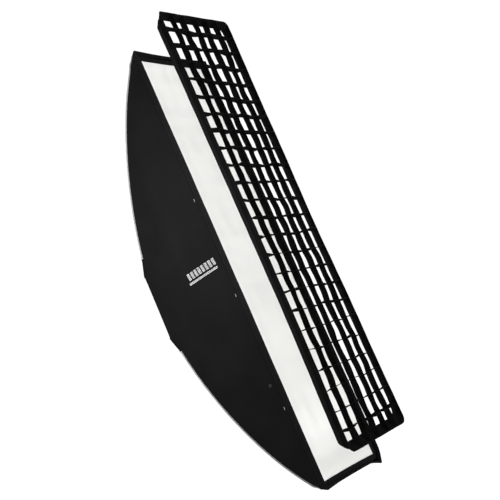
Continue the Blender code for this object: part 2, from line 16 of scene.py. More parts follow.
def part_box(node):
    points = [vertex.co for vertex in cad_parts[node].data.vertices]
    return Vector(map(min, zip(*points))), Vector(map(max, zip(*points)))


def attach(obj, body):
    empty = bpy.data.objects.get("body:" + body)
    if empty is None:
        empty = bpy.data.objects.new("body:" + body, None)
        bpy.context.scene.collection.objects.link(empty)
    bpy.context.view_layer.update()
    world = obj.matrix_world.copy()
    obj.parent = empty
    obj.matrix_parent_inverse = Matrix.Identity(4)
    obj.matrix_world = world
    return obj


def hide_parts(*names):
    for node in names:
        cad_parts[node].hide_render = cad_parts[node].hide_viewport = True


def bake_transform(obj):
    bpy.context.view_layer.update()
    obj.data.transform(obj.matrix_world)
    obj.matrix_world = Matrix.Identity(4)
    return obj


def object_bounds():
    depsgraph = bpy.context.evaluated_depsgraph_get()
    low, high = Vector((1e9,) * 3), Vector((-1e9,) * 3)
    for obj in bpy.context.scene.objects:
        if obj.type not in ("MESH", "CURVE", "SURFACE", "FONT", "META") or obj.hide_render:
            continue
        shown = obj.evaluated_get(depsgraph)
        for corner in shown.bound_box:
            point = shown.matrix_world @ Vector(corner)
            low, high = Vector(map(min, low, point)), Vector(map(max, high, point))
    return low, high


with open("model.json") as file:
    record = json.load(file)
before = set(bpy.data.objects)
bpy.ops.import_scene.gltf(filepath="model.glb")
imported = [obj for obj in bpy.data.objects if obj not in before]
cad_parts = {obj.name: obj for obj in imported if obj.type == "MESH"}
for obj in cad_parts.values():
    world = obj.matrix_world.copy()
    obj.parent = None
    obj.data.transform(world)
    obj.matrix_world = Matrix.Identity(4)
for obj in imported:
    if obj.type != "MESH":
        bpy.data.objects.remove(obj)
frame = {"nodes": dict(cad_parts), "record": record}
CAD_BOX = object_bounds()

# ------------------------------ sizes

HALF_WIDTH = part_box("lip_right")[1].x
HALF_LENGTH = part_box("lip_top")[1].z
FRONT_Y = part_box("lip_left")[0].y
LIP_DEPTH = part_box("lip_left")[1].y - FRONT_Y
BORDER = 0.018            # width of the lip's inward flange
CLOTH = 0.002             # room for the outer fabric with its stiffening
PANEL_CLOTH = 0.0016      # the outer fabric itself
LINING = 0.0006

# The shell tapers along this Bezier curve, given as (depth, height) handles
SHELL_HANDLES = ((LIP_DEPTH, HALF_LENGTH), (0.155, 0.475), (0.262, 0.27), (0.308, 0.09))
BACK_HALF_WIDTH = 0.084
SEAM = 0.004              # strip along each corner that the piping covers
PANEL_SEAM = SEAM * 0.6   # how far the panels' edges stay off the corner
PIPING_RADIUS = 0.0016
CORD_RADIUS = PIPING_RADIUS * 1.5
SEAM_STITCHES = 0.0052    # from the corner to the row of stitches beside it
PANEL_BOW = 0.004         # how far the stretched panels draw in between their corners
BACK_PANEL_Y = (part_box("back_panel")[0].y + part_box("back_panel")[1].y) / 2
RING_NECK = 0.0635
NECK_PLEATS = 18
ACCESS_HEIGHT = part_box("end_panel_top")[0].z + 0.002
BACK_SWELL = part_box("closure_flap_top")[1].y - 0.0036 - (FRONT_Y + SHELL_HANDLES[3][0])

GRID_LOW, GRID_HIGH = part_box("grid_band")
STRIP_LOW, STRIP_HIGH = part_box("grid_lattice")
GRID_COLUMNS, GRID_ROWS = 6, 24
GRID_CLOTH = 0.0014

CORNERS = (("upper_left", -1, 1), ("upper_right", 1, 1), ("lower_left", -1, -1), ("lower_right", 1, -1))
RANDOM = np.random.RandomState(7)
FINISHES = {}             # materials by name


# ------------------------------ materials

def add_node(tree, kind, inputs=None, **settings):
    """Add a shader node; inputs maps its sockets to values or to other nodes' outputs."""
    made = tree.nodes.new("ShaderNode" + kind)
    for name, value in settings.items():
        setattr(made, name, value)
    for socket, value in (inputs or {}).items():
        if isinstance(value, bpy.types.NodeSocket):
            tree.links.new(value, made.inputs[socket])
        else:
            made.inputs[socket].default_value = value
    return made


class Finish:
    """A Principled material built up in steps; done() adds it to FINISHES."""

    def __init__(self, name, colour, roughness, metallic=0.0, specular=0.5, sheen=0.0):
        self.name = name
        self.material = bpy.data.materials.new(name)
        self.material.use_nodes = True
        self.tree = self.material.node_tree
        self.shader = self.tree.nodes["Principled BSDF"]
        self.colour = colour
        self.roughness = roughness
        self.height = None
        self.coordinates = self.node("TexCoord")
        self.set("Base Color", (*colour, 1.0))
        self.set("Roughness", roughness)
        self.set("Metallic", metallic)
        self.set("Specular IOR Level", specular)
        if sheen:
            self.set("Sheen Weight", sheen)
            self.set("Sheen Roughness", 0.5)
            self.set("Sheen Tint", (1.0, 1.0, 1.0, 1.0))

    def set(self, socket, value):
        self.shader.inputs[socket].default_value = value

    def node(self, kind, inputs=None, **settings):
        return add_node(self.tree, kind, inputs, **settings)

    def feed(self, socket, output):
        self.tree.links.new(output, self.shader.inputs[socket])

    def math(self, operation, *values):
        return self.node("Math", dict(enumerate(values)), operation=operation).outputs[0]

    def place(self, source, scale):
        """Texture coordinates in metres, stretched by scale."""
        source = self.coordinates.outputs[source]
        return self.node("VectorMath", {0: source, 1: scale}, operation="MULTIPLY").outputs[0]

    def noise(self, scale, detail=3.0, stretch=(1, 1, 1)):
        place = self.place("Object", stretch)
        return self.node("TexNoise", {"Vector": place, "Scale": scale, "Detail": detail}).outputs["Fac"]

    def ramp(self, value, low, high):
        """Spread the middle of a noise's range over low to high."""
        return self.node("MapRange", {"Value": value, "From Min": 0.3, "From Max": 0.7, "To Min": low,
                                      "To Max": high}).outputs["Result"]

    def vary_colour(self, scale, amount, detail=4.0):
        """Mottle the base colour by a share of itself."""
        factor = self.ramp(self.noise(scale, detail), 0, 1)
        low, high = ((*(min(1.0, channel * share) for channel in self.colour), 1.0)
                     for share in (1 - amount, 1 + amount))
        mixed = self.node("Mix", {"Factor": factor, "A": low, "B": high}, data_type="RGBA")
        self.feed("Base Color", mixed.outputs["Result"])
        return self

    def vary_roughness(self, scale, amount):
        self.feed("Roughness", self.ramp(self.noise(scale), self.roughness - amount,
                                         min(1, self.roughness + amount)))
        return self

    def add_height(self, value, millimetres):
        """Add to the relief that done() turns into normals."""
        scaled = self.math("MULTIPLY", value, millimetres / 1000)
        self.height = scaled if self.height is None else self.math("ADD", self.height, scaled)
        return self

    def weave(self, pitch, millimetres, ratio=1.0):
        """Plain weave, its threads along the two UV directions."""
        turns = math.pi / pitch
        parts = self.node("SeparateXYZ", {0: self.place("UV", (turns, turns * ratio, 0))})
        across = self.math("SINE", parts.outputs["X"])
        along = self.math("SINE", parts.outputs["Y"])
        return self.add_height(self.math("MULTIPLY", across, along), millimetres)

    def grain(self, scale, millimetres, stretch=(1, 1, 1), detail=3.0):
        return self.add_height(self.noise(scale, detail, stretch), millimetres)

    def done(self, strength=1.0):
        bump = self.node("Bump", {"Strength": strength, "Distance": 1.0, "Height": self.height})
        self.feed("Normal", bump.outputs["Normal"])
        FINISHES[self.name] = self.material


def coated_fabric(name, colour):
    """Tightly woven polyester with a matt coating."""
    made = Finish(name, colour, 0.68, specular=0.025).vary_colour(9, 0.16).vary_roughness(14, 0.08)
    made.weave(0.0007, 0.035).grain(90, 0.1).done(0.8)


def white_cloth(name, colour, pitch):
    made = Finish(name, colour, 0.88, specular=0.2, sheen=0.1)
    made.vary_colour(7, 0.018, detail=2).vary_roughness(40, 0.05)
    made.weave(pitch, 0.03).grain(45, 0.12).done(0.7)


def thread(name, colour, mottle):
    Finish(name, colour, 0.6, specular=0.35).vary_colour(900, mottle).grain(4000, 0.03).done()


def make_fabrics():
    coated_fabric("outer_fabric", (0.0064, 0.0064, 0.0068))
    coated_fabric("label_ground", (0.0064, 0.0064, 0.0067))
    white_cloth("diffuser_cloth", (0.8, 0.8, 0.775), 0.0006)
    white_cloth("baffle_cloth", (0.72, 0.72, 0.7), 0.0008)
    thread("black_thread", (0.014, 0.014, 0.014), 0.3)
    thread("pale_thread", (0.3, 0.3, 0.296), 0.12)

    grid = Finish("grid_fabric", (0.004, 0.004, 0.0042), 0.9, specular=0.02)
    grid.vary_colour(40, 0.35).weave(0.0009, 0.05).grain(180, 0.25).done()

    silver = Finish("silver_lining", (0.66, 0.66, 0.68), 0.36, metallic=0.75)
    silver.vary_colour(25, 0.06).vary_roughness(60, 0.08)
    silver.weave(0.0012, 0.05).grain(260, 0.2).grain(30, 0.6).done()

    webbing = Finish("webbing", (0.01, 0.01, 0.011), 0.85, specular=0.18)
    webbing.vary_colour(60, 0.22).weave(0.0016, 0.1, ratio=0.5).grain(900, 0.06).done()

    pile = Finish("hook_loop", (0.0055, 0.0055, 0.006), 0.95, specular=0.04, sheen=0.02)
    pile.vary_colour(350, 0.35).grain(1400, 0.3, detail=2).grain(320, 0.2).done()

    # The cord's pale grey is partly its own colour and partly a painted rim highlight along the outline
    piping = Finish("piping", (0.26, 0.26, 0.262), 0.5, specular=0.3)
    piping.vary_colour(80, 0.15).weave(0.0012, 0.05).done()

    label = Finish("label_cloth", (0.56, 0.56, 0.555), 0.8, specular=0.2, sheen=0.1)
    label.vary_colour(300, 0.08).weave(0.0005, 0.05, ratio=0.6).grain(700, 0.03).done()


def make_hard_finishes():
    turned = Finish("turned_aluminium", (0.7, 0.7, 0.71), 0.3, metallic=1.0)
    turned.vary_colour(180, 0.05).vary_roughness(90, 0.08)
    turned.grain(2600, 0.02, stretch=(0.05, 1, 0.05)).grain(300, 0.01).done()
    FINISHES["insert_aluminium"] = FINISHES["turned_aluminium"]

    socket = Finish("socket_aluminium", (0.66, 0.66, 0.68), 0.33, metallic=1.0)
    socket.vary_colour(240, 0.06).vary_roughness(300, 0.08).grain(1500, 0.02).done()

    paint = Finish("ring_paint", (0.018, 0.018, 0.019), 0.48, specular=0.45)
    paint.vary_colour(120, 0.15).vary_roughness(60, 0.07).grain(1300, 0.035).grain(320, 0.02).done()

    zinc = Finish("screw_steel", (0.52, 0.52, 0.53), 0.32, metallic=1.0)
    zinc.vary_colour(500, 0.1).vary_roughness(400, 0.1).grain(2400, 0.012).done()

    rod = Finish("rod_steel", (0.42, 0.42, 0.43), 0.26, metallic=1.0)
    rod.vary_colour(60, 0.08).vary_roughness(30, 0.1)
    rod.grain(3000, 0.008, stretch=(1, 0.08, 0.03)).done()

    plastic = Finish("black_plastic", (0.009, 0.009, 0.009), 0.52, specular=0.25)
    plastic.vary_colour(200, 0.12).vary_roughness(150, 0.06).grain(1800, 0.02).done()


# ------------------------------ mesh helpers

WELD = 1e-6
STUD_PROFILE = ((0, 0.0016), (0.0022, 0.0015), (0.004, 0.001), (0.0046, 0.0003), (0.0046, -0.0003),
                (0.004, -0.0006), (0, -0.0006))


def unit(vectors):
    length = np.linalg.norm(vectors, axis=-1, keepdims=True)
    return vectors / np.maximum(length, 1e-12)


def smoothstep(value):
    clipped = np.clip(value, 0, 1)
    return clipped * clipped * (3 - 2 * clipped)


def ripple(arc, wavelength, seed):
    """Smooth, repeatable waviness between -1 and 1 along a length."""
    arc = np.asarray(arc, float)
    total = np.zeros_like(arc)
    for octave in (0, 1):
        rate = math.tau / wavelength * (1 + 0.83 * octave)
        total += np.sin(rate * arc + seed * 2.3 + octave * 1.7) / (octave + 1)
        total += 0.6 * np.sin(rate * 0.57 * arc + seed * 1.1 + octave) / (octave + 1)
    return total / 2.4


def arc_of(points):
    """Length along a path at each of its points."""
    return np.concatenate([[0], np.linalg.norm(np.diff(points, axis=0), axis=1).cumsum()])


def add_object(name, data):
    made = bpy.data.objects.new(name, data)
    bpy.context.scene.collection.objects.link(made)
    return made


def add_mesh(name, points, faces, finish, uvs=None, sharp=50):
    mesh = bpy.data.meshes.new(name)
    mesh.from_pydata([tuple(map(float, point)) for point in points], [], faces)
    if uvs is not None:
        layer = mesh.uv_layers.new(name="UVMap")
        index = np.empty(len(mesh.loops), np.int32)
        mesh.loops.foreach_get("vertex_index", index)
        layer.data.foreach_set("uv", np.asarray(uvs, np.float32)[index].ravel())
    mesh.shade_smooth()
    mesh.set_sharp_from_angle(angle=math.radians(sharp))
    mesh.materials.append(FINISHES[finish])
    return add_object(name, mesh)


def grid_faces(rows, columns, offset=0, flip=False, wrap_rows=False, wrap_columns=False):
    faces = []
    for row in range(rows if wrap_rows else rows - 1):
        for column in range(columns if wrap_columns else columns - 1):
            next_row, next_column = (row + 1) % rows, (column + 1) % columns
            face = (offset + row * columns + column, offset + row * columns + next_column,
                    offset + next_row * columns + next_column, offset + next_row * columns + column)
            faces.append(face[::-1] if flip else face)
    return faces


def grid_normals(grid, wrap_rows=False):
    """Unit normals of a grid of points."""
    if wrap_rows:
        along = np.roll(grid, -1, axis=0) - np.roll(grid, 1, axis=0)
    else:
        along = np.gradient(grid, axis=0)
    return unit(np.cross(along, np.gradient(grid, axis=1)))


def grid_metres(grid, wrap_rows=False):
    """UV coordinates in metres, and the sheet's (width, length)."""
    across = np.linalg.norm(np.diff(grid, axis=1), axis=2)
    along = np.linalg.norm(np.diff(grid, axis=0), axis=2)
    u = np.concatenate([np.zeros((len(grid), 1)), across.cumsum(axis=1)], axis=1)
    u -= u[:, -1:] / 2
    v = np.concatenate([np.zeros((1, grid.shape[1])), along.cumsum(axis=0)], axis=0)
    length = along.sum(axis=0).max()
    if wrap_rows:
        length += np.linalg.norm(grid[0] - grid[-1], axis=1).max()
    return np.stack([u, v], axis=2).reshape(-1, 2), (across.sum(axis=1).max(), length)


def grid_area(grid):
    first = np.cross(grid[1:, :-1] - grid[:-1, :-1], grid[:-1, 1:] - grid[:-1, :-1])
    second = np.cross(grid[1:, 1:] - grid[:-1, 1:], grid[1:, 1:] - grid[1:, :-1])
    return (np.linalg.norm(first, axis=2).sum() + np.linalg.norm(second, axis=2).sum()) / 2


def sewn(name, grid, thickness, finish, outward, centred=False, wrap_rows=False):
    """A closed thin piece of cloth. grid is its outer face, or its middle if centred."""
    rows, columns = grid.shape[:2]
    normals = grid_normals(grid, wrap_rows)
    flip = bool(np.dot(normals[rows // 2, columns // 2], outward) < 0)
    if flip:
        normals = -normals
    depth = np.asarray(thickness)[..., None]
    outer = grid + normals * depth / 2 if centred else grid
    inner = outer - normals * depth
    points = np.concatenate([outer.reshape(-1, 3), inner.reshape(-1, 3)])
    count = rows * columns
    faces = grid_faces(rows, columns, 0, not flip, wrap_rows)
    faces += grid_faces(rows, columns, count, flip, wrap_rows)
    last, below = columns - 1, count - columns
    edges = []
    for row in range(rows if wrap_rows else rows - 1):
        here, following = row * columns, (row + 1) % rows * columns
        edges += [(here, following), (following + last, here + last)]
    if not wrap_rows:
        for column in range(last):
            edges += [(column + 1, column), (below + column, below + column + 1)]
    for a, b in edges:
        face = (a, b, b + count, a + count)
        faces.append(face[::-1] if flip else face)
    uvs, size = grid_metres(grid, wrap_rows)
    made = add_mesh(name, points, faces, finish, np.concatenate([uvs, uvs]))
    made["cut"] = [size[0], size[1], min(grid_area(grid), size[0] * size[1])]
    return made


def tube(name, rings, around, along, finish, closed):
    """A tube from its rings of points, with UVs in metres; one that isn't closed gets end caps."""
    rows, columns = rings.shape[:2]
    faces = grid_faces(rows, columns, 0, False, closed, True)
    if not closed:
        faces.append(tuple(range(columns))[::-1])
        faces.append(tuple(range((rows - 1) * columns, rows * columns)))
    uvs = np.stack(np.broadcast_arrays(around[None, :], along[:, None]), axis=2).reshape(-1, 2)
    made = add_mesh(name, rings.reshape(-1, 3), faces, finish, uvs)
    face_outwards(made)
    return made


def swept(name, centres, sides, ups, profile, finish, closed=False):
    """Sweep a closed (side, up) profile along a path."""
    profile = np.asarray(profile, float)
    sides, ups = (np.broadcast_to(np.asarray(ways, float), centres.shape) for ways in (sides, ups))
    rings = (centres[:, None] + sides[:, None] * profile[None, :, :1]
             + ups[:, None] * profile[None, :, 1:])
    return tube(name, rings, arc_of(profile), arc_of(centres), finish, closed)


def face_outwards(made):
    """Turn a closed mesh's faces out, by the sign of its volume."""
    bm = bmesh.new()
    bm.from_mesh(made.data)
    if bm.calc_volume(signed=True) < 0:
        made.data.flip_normals()
    bm.free()


def path_frames(path, up):
    """Sideways and upward directions along a path, from a rough up direction."""
    path = np.asarray(path, float)
    tangents = unit(np.gradient(path, axis=0))
    sides = unit(np.cross(tangents, np.broadcast_to(np.asarray(up, float), path.shape)))
    return sides, np.cross(sides, tangents)


def circle_profile(radius, count):
    return [(radius * math.cos(math.tau * step / count), radius * math.sin(math.tau * step / count))
            for step in range(count)]


def ribbon_profile(width, thickness, hem=0.0, hem_width=0.004):
    """Closed profile of a ribbon that lies along the first axis, with rounded and hemmed edges."""
    half, low, high = width / 2, thickness / 2, thickness / 2 + hem
    right = [(half, 0), (half - high * 0.3, high * 0.75), (half - high, high)]
    if hem:
        right += [(half - hem_width, high), (half - hem_width - hem, low)]
    right += [(half / 3, low)]
    top = right[1:] + [(-across, up) for across, up in reversed(right[1:])]
    return [right[0], *top, (-half, 0), *[(across, -up) for across, up in reversed(top)]]


def stitches(name, runs, slot, finish="black_thread", length=0.0026, gap=0.0014, radius=0.00028):
    """Threads laid end to end along runs of (points, normals), as one piece."""
    points, faces = [], []
    shape = ((-0.5, 0, 0), (0, 1, 0), (0, 0, 1), (0, -1, 0), (0, 0, -0.6), (0.5, 0, 0))
    tips = ((0, 2, 1), (0, 3, 2), (0, 4, 3), (0, 1, 4), (5, 1, 2), (5, 2, 3), (5, 3, 4), (5, 4, 1))
    for path, normals in runs:
        path = np.asarray(path, float)
        normals = np.broadcast_to(np.asarray(normals, float), path.shape)
        arc = arc_of(path)
        for start in np.arange(gap, arc[-1] - length, length + gap):
            ends = [np.array([np.interp(place, arc, path[:, axis]) for axis in range(3)])
                    for place in (start, start + length)]
            up = unit(np.array([np.interp(start, arc, normals[:, axis]) for axis in range(3)]))
            along = ends[1] - ends[0]
            side = unit(np.cross(unit(along), up))
            middle = (ends[0] + ends[1]) / 2 + up * radius * 0.3
            base = len(points)
            for a, b, c in shape:
                points.append(middle + along * a + side * b * radius + up * c * radius)
            faces += [tuple(base + corner for corner in face) for face in tips]
    made = add_mesh(name, points, faces, finish, sharp=80)
    face_outwards(made)
    finish_piece(made, slot)


def lathe(name, profile, finish, place, axis, steps=32, ribs=0, rib_depth=0.0):
    """Turn a (radius, height) profile about an axis; ribs scallop its outside."""
    heading = Vector(axis).to_track_quat("Z", "X").to_matrix()
    points = []
    for step in range(steps):
        angle = math.tau * step / steps
        swell = 1 + rib_depth * math.cos(ribs * angle)
        for radius, height in profile:
            spot = Vector((radius * swell * math.cos(angle), radius * swell * math.sin(angle), height))
            points.append(Vector(place) + heading @ spot)
    columns = len(profile)
    faces = grid_faces(steps, columns, 0, False, True, False)
    if profile[0][0] > 0:
        faces.append(tuple(step * columns for step in range(steps)))
    if profile[-1][0] > 0:
        faces.append(tuple(step * columns + columns - 1 for step in range(steps))[::-1])
    made = add_mesh(name, points, faces, finish, sharp=40)
    weld(made)
    face_outwards(made)
    return made


def weld(made):
    bm = bmesh.new()
    bm.from_mesh(made.data)
    bmesh.ops.remove_doubles(bm, verts=bm.verts, dist=WELD)
    bmesh.ops.dissolve_degenerate(bm, edges=bm.edges, dist=WELD)
    bm.to_mesh(made.data)
    bm.free()


def joined(name, objects):
    """Several meshes as one object."""
    first = objects[0]
    with bpy.context.temp_override(active_object=first, object=first, selected_objects=objects,
                                   selected_editable_objects=objects):
        bpy.ops.object.join()
    first.name = first.data.name = name
    return first


def finish_piece(made, slot, *stands_for, body="softbox"):
    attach(made, body)
    if stands_for:
        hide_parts(*stands_for)


def finish_sheet(made, slot, rests_on, *stands_for, body="softbox", held="stretched", flat=None):
    """Attach a piece that is a sheet of cloth and hide what it stands for; its cut size, flat or its own
    measured size, is worked out but not used.
    """
    finish_piece(made, slot, *stands_for, body=body)
    area = None
    if flat is None:
        *flat, area = made["cut"]
        area = max(area, 0.3 * flat[0] * flat[1])


# ------------------------------ shell geometry

def y_at(depth):
    return FRONT_Y + depth


def shell_point(t, inset=0.0):
    """(depth, height) on the shell's outline, or a distance inside it."""
    a, b, c, d = (np.array(handle) for handle in SHELL_HANDLES)
    s = 1 - t
    point = a * s ** 3 + 3 * b * s * s * t + 3 * c * s * t * t + d * t ** 3
    tangent = unit(3 * (b - a) * s * s + 6 * (c - b) * s * t + 3 * (d - c) * t * t)
    return point - np.array((-tangent[1], tangent[0])) * inset


def shell_half_width(t):
    """The shell narrows with its height, from the lip's width to the back panel's."""
    back_height = SHELL_HANDLES[3][1]
    share = (shell_point(t)[1] - back_height) / (HALF_LENGTH - back_height)
    return BACK_HALF_WIDTH + (HALF_WIDTH - BACK_HALF_WIDTH) * share


def shell_t(reached):
    """Share of the curve, from 0 to 1, at which reached(t) first holds."""
    low, high = 0.0, 1.0
    for _ in range(40):
        middle = (low + high) / 2
        if reached(middle):
            high = middle
        else:
            low = middle
    return high


def t_at_height(height):
    return shell_t(lambda t: shell_point(t)[1] <= height)


def t_at_depth(depth):
    return shell_t(lambda t: shell_point(t)[0] >= depth)


def back_swell(height):
    """How far the side panels' rear edge stands back of the curve, between the access gaps."""
    return np.interp(abs(height), (SHELL_HANDLES[3][1], ACCESS_HEIGHT), (BACK_SWELL, 0))


def tension_folds(along, across, seed):
    """Faint slanting creases of stretched cloth."""
    waves = np.zeros(np.broadcast(along, across).shape)
    for number in range(5):
        centre = ((number * 0.37 + seed * 0.21) % 1.6) - 0.8
        slope = 0.35 * math.sin(number * 2.1 + seed)
        spread = 0.05 + 0.03 * (number % 3)
        ridge = np.exp(-((across - centre - slope * along) / spread) ** 2)
        waves += ridge * math.cos(number * 1.9 + seed)
    soft = np.sin(7 * across + 3.1 * along + seed) * np.sin(5.3 * along + seed * 0.7)
    return 0.0007 * waves + 0.0004 * soft


# How far each corner of the lip is pushed out by its rod: across, up
EARS = {(-1, 1): (0.013, 0.002), (1, 1): (0.004, 0.002), (-1, -1): (0.001, 0.002),
        (1, -1): (-0.0175, 0.012)}
EAR_REACH = (0.065, 0.032)      # how far an ear's push fades along the short and the long edge
EAR_DEPTH = 0.055               # and backwards
# Behind the ears the hem's seam draws the corners in, in front of the rods' pockets
PINCH = {(-1, 1): 0.0075, (1, 1): 0.005, (-1, -1): 0.0065, (1, -1): 0.005}
PINCH_REACH = 0.09
PINCH_FADE = ((0, 0.018, 0.024, 0.037, 0.1), (0, 1, 1, 0.18, 0))    # depths, and its share there
SETTLE_START, SETTLE_DEPTH = 0.01, 0.13     # behind these the cloth turns to its cut shape
DRAW_SIDES, DRAW_ENDS = 0.002, 0.0022       # how far the opening's edges draw in at their middles
RIM_WAVE = 0.0006
FRONT_SEAM = LIP_DEPTH + 0.0006             # depth at which the panels are sewn to the lip
SIDE_SEEDS = {-1: 1.0, 1: 3.6}              # of the folds in each panel
END_SEEDS = {1: 5.0, -1: 6.7}


def settle(x, z, half_x, half_z, depth, ears=True):
    """How the cloth at a spot lies off its cut shape, across and up, near the front."""
    depth = np.asarray(depth, float)
    fade = 1 - smoothstep((depth - SETTLE_START) / SETTLE_DEPTH)
    u, v = np.clip(x / half_x, -1, 1), np.clip(z / half_z, -1, 1)
    across = fade * (-u * DRAW_SIDES * (1 - v ** 2) + u * RIM_WAVE * ripple(z, 0.21, 1))
    up = -fade * v ** 7 * DRAW_ENDS * (1 - u ** 2)
    if ears:
        from_side = np.maximum(half_x - np.abs(x), 0)
        from_end = np.maximum(half_z - np.abs(z), 0)
        push = (np.clip(1 - from_side / EAR_REACH[0], 0, 1) ** 1.1
                * np.clip(1 - from_end / EAR_REACH[1], 0, 1) ** 1.8
                * (1 - smoothstep(depth / EAR_DEPTH)))
        drawn = (np.interp(depth, *PINCH_FADE) * np.clip(1 - from_side / PINCH_REACH, 0, 1)
                 * np.clip(1 - from_end / PINCH_REACH, 0, 1))
        for corner, (out, rise) in EARS.items():
            here = (np.sign(x) == corner[0]) * (np.sign(z) == corner[1])
            across = across + corner[0] * here * (out * push - 0.35 * PINCH[corner] * drawn)
            up = up + corner[1] * here * (rise * push - PINCH[corner] * drawn)
    return across, up


def side_bow(side, t, share):
    """How far a side panel lies inside its straight shape; share runs -1 to 1 along Z."""
    edge = (1 - share ** 2) * np.sin(math.pi * np.clip(t, 0, 1)) ** 1.3
    return edge * (PANEL_BOW + tension_folds(t * 2 - 1, share, SIDE_SEEDS[side]) * 1.4)


def side_spot(side, t, share, inset, seam):
    """A spot on the left or right panel; share runs -1 to 1 along Z."""
    depth, height = shell_point(t, seam)
    depth = max(depth, FRONT_SEAM)
    half = shell_half_width(t)
    across, up = settle(side * half, share * height, half, shell_point(t)[1], depth)
    return (side * (half - inset - side_bow(side, t, share)) + across,
            y_at(depth + back_swell(height)), share * height + up)


def end_spot(side, t, share, inset, seam):
    """A spot on the top or bottom panel; share runs -1 to 1 along X."""
    half = shell_half_width(t) - seam
    folds = tension_folds(t * 2 - 1, share, END_SEEDS[side])
    bow = (1 - share ** 2) * (PANEL_BOW * 0.7 + folds)
    depth, height = shell_point(t, inset + bow * math.sin(math.pi * min(1, t * 1.1)) ** 1.3)
    depth = max(depth, FRONT_SEAM)
    across, up = settle(share * half, side * height, half + seam, shell_point(t)[1], depth)
    return share * half + across, y_at(depth), side * height + up


# ------------------------------ softbox fabric

def make_panels():
    """The four panels: coated cloth on the rods, and the silver lining inside it."""
    last = t_at_height(ACCESS_HEIGHT)
    for kind, label, side, rods in (
            ("side", "left", -1, ("rod_upper_left", "rod_lower_left")),
            ("side", "right", 1, ("rod_upper_right", "rod_lower_right")),
            ("end", "top", 1, ("rod_upper_left", "rod_upper_right")),
            ("end", "bottom", -1, ("rod_lower_left", "rod_lower_right"))):
        if kind == "side":
            spot_on, outward = side_spot, (side, 0, 0)
            shares = np.sin(np.linspace(-1, 1, 141) * 1.45) / math.sin(1.45)
            reaches = (np.linspace(0.005, 1, 44),) * 2
        else:
            spot_on, outward = end_spot, (0, 0.1, side)
            shares = np.linspace(-1, 1, 41)
            reaches = np.linspace(0.005, last, 90), np.linspace(0.012, last, 80)
        outer = f"{kind}_cloth_{label}"
        for name, finish, thick, inset, seam, reach, rests_on, node in (
                (outer, "outer_fabric", PANEL_CLOTH, 0.0, PANEL_SEAM, reaches[0], rods,
                 f"{kind}_panel_{label}"),
                (f"silver_cloth_{label}", "silver_lining", LINING, CLOTH, SEAM * 2, reaches[1],
                 (outer,), f"lining_{label}")):
            grid = np.array([[spot_on(side, t, share, inset, seam) for share in shares]
                             for t in reach])
            panel = sewn(name, grid, thick, finish, outward)
            if kind == "side":
                # it lies nearly flat, so it is cut to the size of its outline in YZ
                panel["cut"] = (np.ptp(grid[..., 2]), np.ptp(grid[..., 1]), panel["cut"][2])
            finish_sheet(panel, finish, list(rests_on), node)


def make_piping():
    """A corded binding along each corner seam, pale grey where corded, a grey that is partly its own
    colour and partly a painted rim highlight; beside the access gaps it is plain black.
    """
    runs = []
    knot = t_at_height(ACCESS_HEIGHT)
    corded = np.concatenate([(0, 0.003, 0.006), np.linspace(0.01, knot, 90)])
    for label, side_x, side_z in CORNERS:
        # the corded stretch takes the pale piping finish, whose grey is partly a painted rim highlight
        for kind, shares, finish in (("cord", corded, "piping"),
                                     ("binding", np.linspace(knot, 1, 24), "outer_fabric")):
            path = []
            for t in shares:
                depth, height = shell_point(t)
                x = side_x * (shell_half_width(t) - PIPING_RADIUS * 0.4)
                across, up = settle(x, side_z * height, shell_half_width(t), height, depth)
                path.append((x + across, y_at(depth + back_swell(height)), side_z * height + up))
            path = np.array(path)
            sides, ups = path_frames(path, (side_x, 0, 0))
            swell = 1 + 0.06 * ripple(np.arange(len(path)), 9, side_x + side_z)
            swell *= 0.35 + 0.65 * smoothstep((shares + 0.002) / 0.05)
            swell += 0.5 * np.exp(-((shares - knot) / 0.008) ** 2)
            cord = swept(f"seam_{kind}_{label}", path, sides * swell[:, None], ups * swell[:, None],
                         circle_profile(CORD_RADIUS, 12), finish)
            finish_piece(cord, "piping", f"seam_piping_{label}")
            inwards = sides * np.sign(sides @ np.array((0, -0.5, -side_z)))[:, None]
            inner = path + np.array((side_x * PIPING_RADIUS * 0.5, 0, 0)) + inwards * SEAM_STITCHES
            runs.append((inner, (side_x, 0, 0)))
    stitches("corner_seam_stitches", runs, "outer_fabric")


def make_back_panel():
    """Cloth gathered round the ring's neck, with two rows of stitches."""
    turns = 144
    half_z = SHELL_HANDLES[3][1] - 0.002
    start = RING_NECK + 0.0006
    rows = []
    for step in range(turns):
        angle = math.tau * step / turns
        across, up = math.cos(angle), math.sin(angle)
        edge = min((BACK_HALF_WIDTH - 0.0006) / max(abs(across), 1e-9), half_z / max(abs(up), 1e-9))
        row = []
        for share in np.linspace(0, 1, 9):
            radius = start + (edge - start) * share
            pucker = 0.0005 * math.sin(NECK_PLEATS * angle) * (1 - share) ** 2
            row.append((radius * across, BACK_PANEL_Y + 0.0008 + pucker, radius * up))
        rows.append(row)
    panel = sewn("back_cloth", np.array(rows), 0.0014, "outer_fabric", (0, 1, 0), wrap_rows=True)
    finish_piece(panel, "outer_fabric", "back_panel")

    runs = []
    for radius in (RING_NECK + 0.0085, RING_NECK + 0.0105):
        ring = [(radius * math.cos(angle), BACK_PANEL_Y + 0.0009, radius * math.sin(angle))
                for angle in np.linspace(0, math.tau, 97)]
        runs.append((ring, (0, 1, 0)))
    stitches("ring_seam_stitches", runs, "outer_fabric")


# ------------------------------ front

DIFFUSER_DEPTH = 0.0146
HEM_WIDTH = 0.014
LOOP_TAPE_WIDTH = 0.01
TACK_HEIGHTS = (0.177, -0.087, -0.387)
TACK_WIDTH, TACK_THREADS = 0.0064, 9
TACK_ENDS = ((0.0225, 0.0022), (0.0262, -0.0022))   # depth and slant at each end of a thread
RIVET_PLACE = (0.037, -0.322)                       # depth and height


